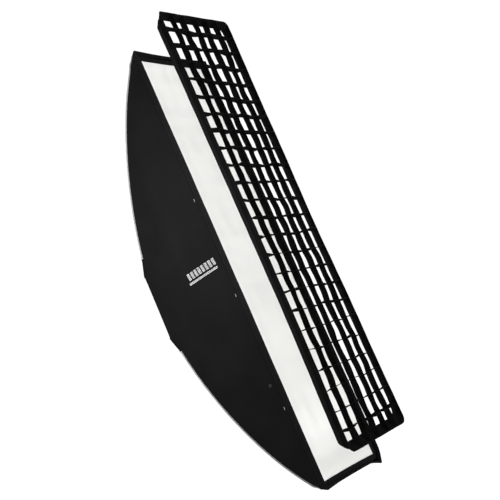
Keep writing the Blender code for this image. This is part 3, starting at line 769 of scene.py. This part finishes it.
def loop_path(half_x, half_z, radii, spacing=0.006):
    """Points and outward normals round a rounded rectangle in XZ, evenly spaced."""
    points, normals = [], []
    corners = ((1, 1), (-1, 1), (-1, -1), (1, -1))
    for number, ((side_x, side_z), radius) in enumerate(zip(corners, radii)):
        centre = np.array((side_x * (half_x - radius), side_z * (half_z - radius)))
        for turn in np.linspace(0, 90, 9):
            angle = math.radians(90 * number + turn)
            normal = np.array((math.cos(angle), math.sin(angle)))
            points.append(centre + normal * radius)
            normals.append(normal)
        (next_x, next_z), following = corners[(number + 1) % 4], radii[(number + 1) % 4]
        start = points[-1]
        end = (np.array((next_x * (half_x - following), next_z * (half_z - following)))
               + normals[-1] * following)
        count = max(2, int(np.linalg.norm(end - start) / spacing))
        for step in range(1, count):
            points.append(start + (end - start) * step / count)
            normals.append(normals[-1])
    return np.array(points), np.array(normals)


def front_loop(name, inset, depth, profile, finish, radius, ears=True, sway=0.0, seed=0.0):
    """A closed strip round the front; its profile gives places as (outwards, backwards).

    Returns it, the function that lays such a place along the whole loop, and the
    loop's outward directions, with the first repeated at the end.
    """
    points, normals = loop_path(HALF_WIDTH - inset, HALF_LENGTH - inset, [radius] * 4)
    profile = np.asarray(profile, float)
    wave = sway * ripple(arc_of(points), 0.055, seed)

    def lay(out, back):
        spot = points + normals * out
        across, up = settle(spot[:, 0], spot[:, 1], HALF_WIDTH, HALF_LENGTH, depth + back, ears)
        return np.stack([spot[:, 0] + across, y_at(depth + back) + wave, spot[:, 1] + up], axis=1)

    rings = np.stack([lay(out, back) for out, back in profile], axis=1)
    made = tube(name, rings, arc_of(profile), arc_of(points), finish, True)
    outs = np.stack([normals[:, 0], np.zeros(len(points)), normals[:, 1]], axis=1)
    return made, lay, np.vstack([outs, outs[:1]])


def closed_line(line):
    return np.vstack([line, line[:1]])


def make_lip():
    """The folded hem round the opening: a wall with a rolled front edge, and a border."""
    wall, rear = 0.0019, LIP_DEPTH
    profile = [(0, 0.001), (-0.0003, 0.0003), (-wall / 2, 0), (-wall + 0.0003, 0.0003),
               (-wall, 0.001), (-wall, 0.006), (-wall, rear - wall - 0.0004),
               (-wall - 0.0005, rear - wall), (-BORDER * 0.6, rear - wall), (-BORDER, rear - wall),
               (-BORDER, rear), (-BORDER * 0.6, rear), (-0.0005, rear), (0, rear - 0.0003),
               (0, 0.012), (0, 0.006)]
    lip, lay, outs = front_loop("lip_cloth", 0.0, 0.0, profile, "outer_fabric", 0.003)
    around = 4 * (HALF_WIDTH + HALF_LENGTH)
    finish_sheet(lip, "lip_fabric", [f"rod_{label}" for label, _, _ in CORNERS],
                 "lip_left", "lip_right", "lip_top", "lip_bottom", flat=(LIP_DEPTH + BORDER, around))

    runs = [(closed_line(lay(0.00005, depth)), outs) for depth in (0.0036, rear - 0.0042)]
    stitches("lip_stitches", runs, "lip_fabric", length=0.003, gap=0.0016)

    profile = [(across, along) for along, across in ribbon_profile(LOOP_TAPE_WIDTH, 0.0009)]
    tape, _, _ = front_loop("loop_tape_cloth", CLOTH + 0.0006, 0.0065, profile, "hook_loop", 0.003)
    finish_sheet(tape, "hook_loop", ["lip_cloth"], "lip_loop_tape",
                 flat=(LOOP_TAPE_WIDTH, around - 0.02))


def make_diffuser():
    """The white front, a little puckered at its edge, and its hook-and-loop hem."""
    half_x, half_z = HALF_WIDTH - 0.0075, HALF_LENGTH - 0.0075
    a, b = np.meshgrid(np.linspace(-1, 1, 53), np.linspace(-1, 1, 201))
    x, z = a * half_x, b * half_z
    from_side, from_end = half_x - np.abs(x), half_z - np.abs(z)
    near_side = np.exp(-np.maximum(from_side - 0.011, 0) / 0.02)
    near_end = np.exp(-np.maximum(from_end - 0.011, 0) / 0.02)
    inside = smoothstep((from_side - 0.004) / 0.014) * smoothstep((from_end - 0.004) / 0.014)
    puckers = near_side * ripple(z, 0.034, 3.0 + np.sign(x)) + near_end * ripple(x, 0.03, 5.0)
    billow = (1 - a ** 2) * (1 - b ** 8) * 0.0022
    drift = 0.0007 * np.sin(z * 11 + x * 9) * np.sin(x * 14 + 1)
    y = y_at(DIFFUSER_DEPTH) - 0.0004 + inside * (0.001 * puckers + billow + drift)
    across, up = settle(x, z, HALF_WIDTH, HALF_LENGTH, 0.0, ears=False)
    cloth = sewn("front_cloth", np.stack([x + across, y, z + up], axis=2), 0.0007,
                 "diffuser_cloth", (0, -1, 0))
    finish_sheet(cloth, "diffuser_cloth", ["lip_cloth"], "front_diffuser")

    hem, lay, _ = front_loop("diffuser_hem_tape", 0.0046 + HEM_WIDTH / 2, DIFFUSER_DEPTH - 0.0013,
                             ribbon_profile(HEM_WIDTH, 0.0009, 0.0002), "hook_loop", 0.0075,
                             ears=False, sway=0.0002, seed=2)
    finish_sheet(hem, "hook_loop", ["front_cloth"], "diffuser_hem",
                 flat=(HEM_WIDTH, 4 * (half_x + half_z) - 0.03))
    runs = [(closed_line(lay(offset, -0.0007)), (0, -1, 0)) for offset in (-0.0052, 0.0052)]
    stitches("hem_stitches", runs, "hook_loop", length=0.003, gap=0.0016)


def side_place(side, depth, height, out=0.0):
    """A spot on the outside of a side panel, from its depth and height."""
    t = t_at_depth(depth)
    share = height / shell_point(t, PANEL_SEAM)[1]
    return tuple(map(float, side_spot(side, t, share, -out, PANEL_SEAM)))


def make_bar_tacks():
    """Short bars of pale thread along the border's seam, and a small black stud, on each side."""
    runs, studs = [], []
    for side in (-1, 1):
        for height in TACK_HEIGHTS:
            for place in height + np.linspace(-0.5, 0.5, TACK_THREADS) * TACK_WIDTH:
                path = [side_place(side, depth, place + slant, 0.0003) for depth, slant in TACK_ENDS]
                runs.append((path, (side, 0, 0)))
        studs.append(lathe(f"rivet_{len(studs) + 1}", STUD_PROFILE, "black_plastic",
                           side_place(side, *RIVET_PLACE, 0.0006), (side, 0, 0), 20))
    stitches("bar_tacks", runs, "outer_fabric", "pale_thread", 0.004, 0.00005, 0.0005)
    finish_piece(joined("panel_rivets", studs), "black_plastic")


# ------------------------------ inside

BAFFLE_DEPTH = 0.15
BAFFLE_HALF = (0.105, 0.385)
STRAP_WIDTH = 0.02
STRAP_PITCH = 0.27
BINDING_WIDTH = 0.01


def make_baffle():
    """Inner diffuser: hemmed white cloth on elastic straps with press studs."""
    half_x, half_z = BAFFLE_HALF
    a, b = np.meshgrid(np.linspace(-1, 1, 31), np.linspace(-1, 1, 91))
    x, z = a * half_x, b * half_z
    pull = 0.0035 * (1 - a ** 2) * (1 - b ** 2) + 0.0008 * np.sin(z * 15) * np.cos(x * 20)
    scallop = 0.003 * (1 - a ** 2) * np.abs(b) ** 6
    grid = np.stack([x * (1 - 0.02 * (1 - np.cos(z * math.tau / STRAP_PITCH)) * np.abs(a) ** 4),
                     y_at(BAFFLE_DEPTH) + pull, z - np.sign(z) * scallop], axis=2)
    cloth = sewn("baffle_sheet", grid, 0.0006, "baffle_cloth", (0, -1, 0))

    t = t_at_depth(BAFFLE_DEPTH)
    side_reach = shell_half_width(t) - CLOTH - LINING
    end_reach = shell_point(t, CLOTH + LINING)[1] - 0.004
    lines = []
    for side in (-1, 1):
        for height in (-STRAP_PITCH, 0.0, STRAP_PITCH):
            reach = side_reach - side_bow(side, t, height / shell_point(t, SEAM)[1]) - 0.0004
            lines.append(((side * (half_x - 0.012), height), (side * reach, height), (0, 0, 1)))
    for side in (-1, 1):
        for across in (-0.06, 0.06):
            lines.append(((across, side * (half_z - 0.012)), (across, side * end_reach), (1, 0, 0)))
    studs = []
    names = [f"baffle_strap_{number}" for number in range(1, len(lines) + 1)]
    for name, line in zip(names, lines):
        studs += make_strap(name, *line)
    finish_sheet(cloth, "baffle_cloth", names, "inner_baffle")
    finish_piece(joined("baffle_studs", studs), "screw_steel")

    edge = np.concatenate([grid[0], grid[1:, -1], grid[-1, ::-1][1:], grid[::-1, 0][1:-1]])
    tangents = unit(np.roll(edge, -1, axis=0) - np.roll(edge, 1, axis=0))
    hem = swept("baffle_binding", edge + np.array((0, 0.0003, 0)),
                unit(np.cross((0.0, 1.0, 0.0), tangents)), (0, 1, 0),
                ribbon_profile(BINDING_WIDTH, 0.0016), "baffle_cloth", closed=True)
    finish_sheet(hem, "baffle_cloth", ["baffle_sheet"], flat=(BINDING_WIDTH, 4 * (half_x + half_z)))


def make_strap(name, start, end, width_axis):
    """An elastic strap between two places in XZ; returns its two press studs."""
    start, end = (np.array((x, y_at(BAFFLE_DEPTH), z)) for x, z in (start, end))
    shares = np.linspace(0, 1, 13)
    path = start + (end - start) * shares[:, None]
    path[:, 1] += 0.0011 + 0.0006 * np.sin(shares * math.pi)
    width = np.array(width_axis, float)
    grid = np.stack([path + width * STRAP_WIDTH * step for step in np.linspace(-0.5, 0.5, 7)], axis=1)
    strap = sewn(name, grid, 0.001, "webbing", (0, 1, 0), centred=True)
    finish_sheet(strap, "webbing", ["baffle_sheet"], flat=tuple(strap["cut"])[:2])
    inward = unit(start - end)
    return [lathe(f"{name}_stud", STUD_PROFILE, "screw_steel", spot + np.array((0, 0.0022, 0)),
                  (0, 1, 0), 20) for spot in (start - inward * 0.006, end + inward * 0.009)]


def make_pockets():
    """Webbing pockets over the rods' tips: cups with a thickened mouth."""
    profile = ((0.0, 0.0058), (0.003, 0.0056), (0.0044, 0.004), (0.0049, 0.001),
               (0.0049, -0.015), (0.0053, -0.0162), (0.0053, -0.0205), (0.0048, -0.0214),
               (0.0038, -0.0205), (0.0037, 0.002), (0.003, 0.0044), (0.0, 0.0046))
    for label, _, _ in CORNERS:
        low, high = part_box(f"rod_tip_{label}")
        tip = np.array((low + high) / 2)
        rod = np.array([vertex.co for vertex in frame["nodes"][f"rod_{label}"].data.vertices])
        near = rod[np.argsort(np.linalg.norm(rod - tip, axis=1))[:40]].mean(axis=0)
        cup = lathe(f"rod_pocket_{label}", profile, "webbing", tip, unit(tip - near), 28)
        finish_piece(cup, "webbing", f"corner_pocket_{label}")


# ------------------------------ back

FLAP_HEIGHT = 0.17        # of the seam that holds each flap
FLAP_LIFT = 0.0012        # of a flap off the end panel
LABEL_MARGIN = 0.0025


def make_flaps():
    """Closure flaps, hemmed at their edges; they bend where they are sewn on."""
    fold, fold_start, fold_height, fold_rise = 0.0035, 20, 0.0893, 0.0038
    middle, edge = 0.0011, 0.0016       # thickness of the cloth and of its hem
    shares = np.linspace(-1, 1, 33)
    for label, side in (("top", 1), ("bottom", -1)):
        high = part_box(f"closure_flap_{label}")[1]
        outer = high.y - 0.0008
        reached = np.linspace(t_at_height(FLAP_HEIGHT), t_at_height(ACCESS_HEIGHT), 14)
        path = [(y_at(depth), height)
                for depth, height in (shell_point(t, -FLAP_LIFT) for t in reached)]
        last = np.array(path[-1])
        bend = np.array((outer - fold + fold * math.sin(math.radians(fold_start)), 0.0929))
        path += [tuple(last + (bend - last) * share) for share in np.linspace(0, 1, 10)[1:-1]]
        for turn in np.radians(np.linspace(fold_start, 90, 7)):
            path.append((outer - fold + fold * math.sin(turn), fold_height + fold_rise * math.cos(turn)))
        path += [(outer, height) for height in np.linspace(0.0878, 0.0745, 7)]
        rows = []
        for step, (y, height) in enumerate(path):
            curls = 0.0004 * smoothstep(step / 12) * np.abs(shares) ** 4
            rows.append([(share * (high.x - 0.0015), y + curl * 0.6, side * (height + curl))
                         for share, curl in zip(shares, curls)])
        grid = np.array(rows)
        thick = np.where(np.abs(shares) > 0.93, edge, middle) * np.ones(grid.shape[:2])
        flap = sewn(f"flap_cloth_{label}", grid, thick, "outer_fabric", (0, 0.3, side), centred=True)
        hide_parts(f"closure_flap_{label}")
        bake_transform(flap)

        low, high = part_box(f"flap_tape_{label}")
        across = np.linspace(low.x, high.x, 60)
        path = np.stack([across, (low.y + high.y) / 2 + 0.00008 * ripple(across, 0.03, 1),
                         np.full(60, (low.z + high.z) / 2)], axis=1)
        tape = swept(f"hook_tape_{label}", path, (0, 0, 1), (0, 1, 0),
                     ribbon_profile(high.z - low.z, high.y - low.y), "hook_loop")
        finish_sheet(tape, "hook_loop", ["back_cloth"], f"flap_tape_{label}", held="laid",
                     flat=(high.z - low.z, high.x - low.x))


def make_lock_screw():
    """The scalloped knob and the threaded screw that stop the ring."""
    low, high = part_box("lock_knob")
    place = Vector((low.x, (low.y + high.y) / 2, 0))
    length, radius = high.x - low.x, 0.0057
    profile = ((0, 0), (0.0036, 0), (0.0042, 0.0006), (0.0044, 0.0018), (radius - 0.0004, 0.0026),
               (radius, 0.0034), (radius, length - 0.0014), (radius - 0.0005, length - 0.0005),
               (radius - 0.0014, length), (0.0036, length), (0.0032, length - 0.0005),
               (0, length - 0.0005))
    knob = lathe("clamp_knob", profile, "black_plastic", place, (1, 0, 0), 96, 12, 0.055)
    finish_piece(knob, "black_plastic", "lock_knob", body="lock_knob")

    low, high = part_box("lock_screw")
    pitch, core, crest = 0.0008, 0.00215, 0.0025
    steps, rows_per_turn = 20, 4
    rows = int((high.x - low.x) / pitch * rows_per_turn)
    points = []
    for row in range(rows + 1):
        along = low.x + (high.x - low.x) * row / rows
        for step in range(steps):
            angle = math.tau * step / steps
            phase = (along - low.x) / pitch - step / steps
            radius = core + (crest - core) * (0.5 + 0.5 * math.cos(math.tau * phase))
            radius -= 0.0006 * max(0, 1 - row / rows_per_turn)
            points.append((along, place.y + radius * math.cos(angle), radius * math.sin(angle)))
    faces = grid_faces(rows + 1, steps, 0, False, False, True)
    faces.append(tuple(range(steps)))
    faces.append(tuple(range(rows * steps, (rows + 1) * steps))[::-1])
    screw = add_mesh("clamp_screw", points, faces, "screw_steel", sharp=70)
    face_outwards(screw)
    finish_piece(screw, "screw_steel", "lock_screw", body="lock_knob")


def make_label():
    """Woven label sewn on the left panel, with a plain pattern of slanted bars and a rule."""
    low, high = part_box("side_label")
    depths = np.linspace(low.y - FRONT_Y, high.y - FRONT_Y, 33)
    heights = np.linspace(low.z, high.z, 13)
    grid = np.array([[side_place(-1, depth, height, 0.0008) for height in heights]
                     for depth in depths])
    label = sewn("woven_label", grid, 0.0006, "label_ground", (-1, 0, 0))
    finish_sheet(label, "label_cloth", ["side_cloth_left"], "side_label", held="laid")

    left, right = depths[0] + LABEL_MARGIN, depths[-1] - LABEL_MARGIN
    bottom, top = heights[0] + LABEL_MARGIN, heights[-1] - LABEL_MARGIN
    middle = bottom + 0.008
    bars, gap, slant, step_between = 8, 0.0035, 0.0035, 0.0011
    pitch = (right - left) / bars
    threads = []
    for bar in range(bars):
        for step in np.arange(0.0, pitch * 0.62, step_between):
            foot = left + bar * pitch + step
            threads.append(((foot, middle + gap), (foot + slant, top)))
    threads += [((foot, bottom), (foot, middle)) for foot in np.arange(left, right, step_between)]
    runs = [([side_place(-1, depth, height, 0.0011) for depth, height in ends], (-1, 0, 0))
            for ends in threads]
    stitches("label_threads", runs, "label_cloth", "label_cloth", 0.003, 0.0002, 0.00062)

    edge = np.concatenate([grid[1, 1:-1], grid[1:-1, -2], grid[-2, 1:-1][::-1], grid[1:-1, 1][::-1]])
    stitches("label_stitches", [(edge, (-1, 0, 0))], "label_cloth", length=0.002, gap=0.001)


# ------------------------------ grid

GRID_CENTRE = (GRID_LOW + GRID_HIGH) / 2
GRID_HALF_X = (GRID_HIGH.x - GRID_LOW.x) / 2
GRID_HALF_Z = (GRID_HIGH.z - GRID_LOW.z) / 2
NODE_SHIFT = 0.0026       # how far the crossings stray
STRIP_BOW = 0.0044        # how far strips bulge between crossings
ROW_RISE = 0.009          # how much higher the middle rows hang
COLUMN_SHIFT = (0, 0.0035, 0.0015, 0.0005, -0.0015, -0.005, 0)    # of the long strips, from the left
TOP_SPREAD = 0.016        # how much wider the grid hangs open at its top
LOW_SPREAD = 0.011        # and at its lower left
LOW_DROP = 0.006          # and how much lower that corner hangs
SIDE_DRAW = 0.0015        # how far its sides draw in at their middles
TOP_RISE = 0.013          # how much higher its top right corner hangs
END_LEAN = (0.008, 0.026)       # how far the rear edges of the top and bottom band lean in
CORNER_LEAN = 0.028       # and the top left corner further
SIDE_LEAN = 0.007         # how far the right side's rear edge leans out
GRID_RADII = (0.014, 0.004, 0.013, 0.018)       # of its corners, anticlockwise from the top right


def hang(x, y, z):
    """Where a spot of the grid lies once the cloth hangs; x and z are from the grid's centre."""
    u, v = x / GRID_HALF_X, z / GRID_HALF_Z
    back = (y - GRID_LOW.y) / (GRID_HIGH.y - GRID_LOW.y)
    top = smoothstep((v - 0.87) / 0.13)
    bottom = smoothstep((-v - 0.87) / 0.13)
    left = smoothstep((-u - 0.72) / 0.28)
    low = smoothstep((-v - 0.3) / 0.7) * (1 - u) / 2
    right = smoothstep((u - 0.8) / 0.2)
    across = TOP_SPREAD * (u + 1) / 2 * smoothstep((v + 0.2) / 1.2) ** 1.3
    lean = back * right * SIDE_LEAN * (1 - bottom) * (1 - 0.8 * smoothstep(v / 0.7)) * (1 - top)
    across = across - u * SIDE_DRAW * (1 - v ** 2) + lean
    across = across - LOW_SPREAD * low
    up = back * (bottom * END_LEAN[1] - top * (END_LEAN[0] + CORNER_LEAN * left)) - LOW_DROP * low
    up = up + TOP_RISE * (u + 1.8) / 2.8 * smoothstep((v - 0.55) / 0.45)
    return (GRID_CENTRE.x + x + across, y + 0.0008 * np.sin(v * 9 + u * 2) * (1 - back),
            GRID_CENTRE.z + z + up)


def grid_nodes():
    """Places of the crossings on the strips' front and rear edges, from the grid's centre."""
    columns = np.linspace(-1, 1, GRID_COLUMNS + 1) * GRID_HALF_X + np.array(COLUMN_SHIFT)
    rows = np.linspace(-1, 1, GRID_ROWS + 1)
    rows = rows * GRID_HALF_Z + ROW_RISE * (1 - rows ** 2)
    spots = np.zeros((2, GRID_COLUMNS + 1, GRID_ROWS + 1, 2))
    spots[..., 0] = columns[None, :, None]
    spots[..., 1] = rows[None, None, :]
    stray = RANDOM.uniform(-1, 1, spots.shape) * NODE_SHIFT
    stray[1] = stray[0] + RANDOM.uniform(-1, 1, spots.shape[1:]) * NODE_SHIFT
    stray[:, (0, -1), :, 0] = 0
    stray[:, :, (0, -1), 1] = 0
    return spots + stray


def between(nodes, bows):
    """Fine points along a line of crossings, bulging sideways between them."""
    fine = []
    steps = 9
    for number in range(len(nodes) - 1):
        for step in range(steps):
            s = step / steps
            eased = s + 0.12 * math.sin(math.tau * s) / math.tau
            spot = nodes[number] * (1 - eased) + nodes[number + 1] * eased
            fine.append(spot + bows[number] * math.sin(math.pi * s) ** 1.3)
    fine.append(nodes[-1])
    return np.array(fine)


def strip_grid(spots, bows):
    """Middle surface of a strip between its front and its rear edge."""
    front, rear = (between(spots[layer], bows[layer]) for layer in (0, 1))
    columns = []
    for share in np.linspace(0, 1, 6):
        flat = front * (1 - share) + rear * share
        y = np.full(len(flat), STRIP_LOW.y + (STRIP_HIGH.y - STRIP_LOW.y) * share)
        columns.append(np.stack(hang(flat[:, 0], y, flat[:, 1]), axis=1))
    return np.stack(columns, axis=1)


def strip_bows(count, axis):
    """How far each stretch of a strip bulges, at its front and at its rear edge."""
    bows = np.zeros((2, count, 2))
    lean = RANDOM.uniform(-1, 1, count)
    bows[0, :, axis] = lean * STRIP_BOW
    bows[1, :, axis] = (0.3 * lean + 0.7 * RANDOM.uniform(-1, 1, count)) * STRIP_BOW
    return bows


def make_grid_strips():
    """The long and the cross strips, each cut from the same net of crossings."""
    nodes = grid_nodes()
    lines = [(f"grid_strip_long_{column}", nodes[:, column], 0) for column in range(1, GRID_COLUMNS)]
    lines += [(f"grid_strip_cross_{row:02d}", nodes[:, :, row], 1) for row in range(1, GRID_ROWS)]
    for name, spots, axis in lines:
        ends = spots.copy()
        limit = (GRID_HALF_Z, GRID_HALF_X)[axis] - GRID_CLOTH - 0.0004
        ends[:, 0, 1 - axis], ends[:, -1, 1 - axis] = -limit, limit
        grid = strip_grid(ends, strip_bows(spots.shape[1] - 1, axis))
        outward = ((1, 0, 0), (0, 0, 1))[axis]
        strip = sewn(name, grid, GRID_CLOTH, "grid_fabric", outward, centred=True)
        finish_sheet(strip, "grid_fabric", ["grid_band_cloth"], "grid_lattice", body="grid")


def band_piece(name, inset, radii, low_y, high_y, thickness, hem, finish):
    """A ribbon round the grid, its faces looking out of and into the loop; also its length."""
    points, normals = loop_path(GRID_HALF_X - inset, GRID_HALF_Z - inset, radii, spacing=0.005)
    arc = arc_of(points)
    sway = 0.0006 * ripple(arc, 0.098, 1.5)
    section = np.array(ribbon_profile(high_y - low_y, thickness, hem, 0.0045))
    rings = []
    for along, out in section:
        spot = points + normals * (out + sway)[:, None]
        y = np.full(len(spot), (low_y + high_y) / 2 + along)
        rings.append(np.stack(hang(spot[:, 0], y, spot[:, 1]), axis=1))
    made = tube(name, np.stack(rings, axis=1), arc_of(section), arc, finish, True)
    return made, arc[-1]


def make_grid_band():
    """The band that holds the strips together, and the tape sewn round its outside."""
    band, around = band_piece("grid_band_cloth", GRID_CLOTH / 2 + 0.0003, GRID_RADII,
                              GRID_LOW.y + 0.0003, GRID_HIGH.y - 0.0003, GRID_CLOTH, 0.0005,
                              "grid_fabric")
    finish_sheet(band, "grid_fabric", ["grid_hook_cloth"], "grid_band", body="grid",
                 flat=(GRID_HIGH.y - GRID_LOW.y, around))
    low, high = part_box("grid_hook_tape")
    proud = 0.0013
    radii = [radius + proud for radius in GRID_RADII]
    tape, around = band_piece("grid_hook_cloth", -proud, radii, low.y, high.y, 0.0011, 0, "hook_loop")
    finish_sheet(tape, "hook_loop", ["grid_band_cloth"], "grid_hook_tape", body="grid",
                 flat=(high.y - low.y, around))


# ------------------------------ hardware

def finish_cad_nodes():
    """Give the CAD nodes that stay their materials, by the record's slots."""
    for part in frame["record"]["subparts"]:
        node = frame["nodes"][part["node"]]
        if not node.hide_render and part["material_slot"] in FINISHES:
            node.data.materials.clear()
            node.data.materials.append(FINISHES[part["material_slot"]])
            node.data.shade_smooth()
            node.data.set_sharp_from_angle(angle=math.radians(35))


# ------------------------------ studio

CAMERA_PLACE = Vector((-2.067, -1.623, -0.428))
CAMERA_FORWARD = Vector((0.8297, 0.5278, 0.1826))
CAMERA_UP = Vector((0.0756, -0.4304, 0.8994))


def make_camera():
    lens = bpy.data.cameras.new("camera")
    lens.lens = 68.43
    lens.sensor_width = 36.0
    camera = add_object("camera", lens)
    forward = CAMERA_FORWARD.normalized()
    right = forward.cross(CAMERA_UP).normalized()
    up = right.cross(forward)
    camera.matrix_world = (Matrix.Translation(CAMERA_PLACE)
                           @ Matrix((right, up, -forward)).transposed().to_4x4())
    bpy.context.scene.camera = camera


def place_light(lamp, place, target):
    made = add_object(lamp.name, lamp)
    made.location = place
    made.rotation_euler = (Vector(target) - Vector(place)).to_track_quat("-Z", "Y").to_euler()


AMBIENT = 0.31            # how bright the surroundings are for the object
SHOWN = 1.05              # and for the camera
FLOOR_DROP = 0.7
FLOOR_HALF = 40.0


def make_studio():
    """White surroundings that light the object less than they show, two soft lamps and a floor."""
    world = bpy.data.worlds.new("studio")
    bpy.context.scene.world = world
    world.use_nodes = True
    tree = world.node_tree
    background = tree.nodes["Background"]
    background.inputs["Color"].default_value = (1.0, 1.0, 1.0, 1.0)
    camera_ray = add_node(tree, "LightPath").outputs["Is Camera Ray"]
    strength = add_node(tree, "MapRange", {"Value": camera_ray, "To Min": AMBIENT, "To Max": SHOWN})
    tree.links.new(strength.outputs["Result"], background.inputs["Strength"])

    front = bpy.data.lights.new("front", "AREA")
    front.shape, front.size, front.energy = "DISK", 3.0, 122
    place_light(front, (-0.4, -4.3, 0.5), (0, -0.3, 0))
    key = bpy.data.lights.new("key", "SPOT")
    key.spot_size, key.spot_blend = math.radians(30), 1.0
    key.shadow_soft_size, key.energy = 0.35, 310
    place_light(key, (-2.0, -0.15, 0.75), (-0.13, -0.22, 0.14))

    floor = Finish("pale_floor", (0.92, 0.92, 0.92), 0.6, specular=0.2)
    floor.vary_colour(0.6, 0.01).grain(20, 0.2).done(0.2)
    floor.set("Emission Color", (1.0, 1.0, 1.0, 1.0))
    floor.set("Emission Strength", 0.85)
    floor_z = CAD_BOX[0].z - FLOOR_DROP
    corners = [(x * FLOOR_HALF, y * FLOOR_HALF, floor_z)
               for x, y in ((-1, -1), (1, -1), (1, 1), (-1, 1))]
    add_mesh("floor", corners, [(0, 1, 2, 3)], "pale_floor")
    bpy.context.scene.view_settings.view_transform = "Standard"


make_fabrics()
make_hard_finishes()
make_camera()
make_studio()
make_panels()
make_piping()
make_back_panel()
make_lip()
make_diffuser()
make_bar_tacks()
make_baffle()
make_pockets()
make_flaps()
make_lock_screw()
make_label()
make_grid_strips()
make_grid_band()
finish_cad_nodes()
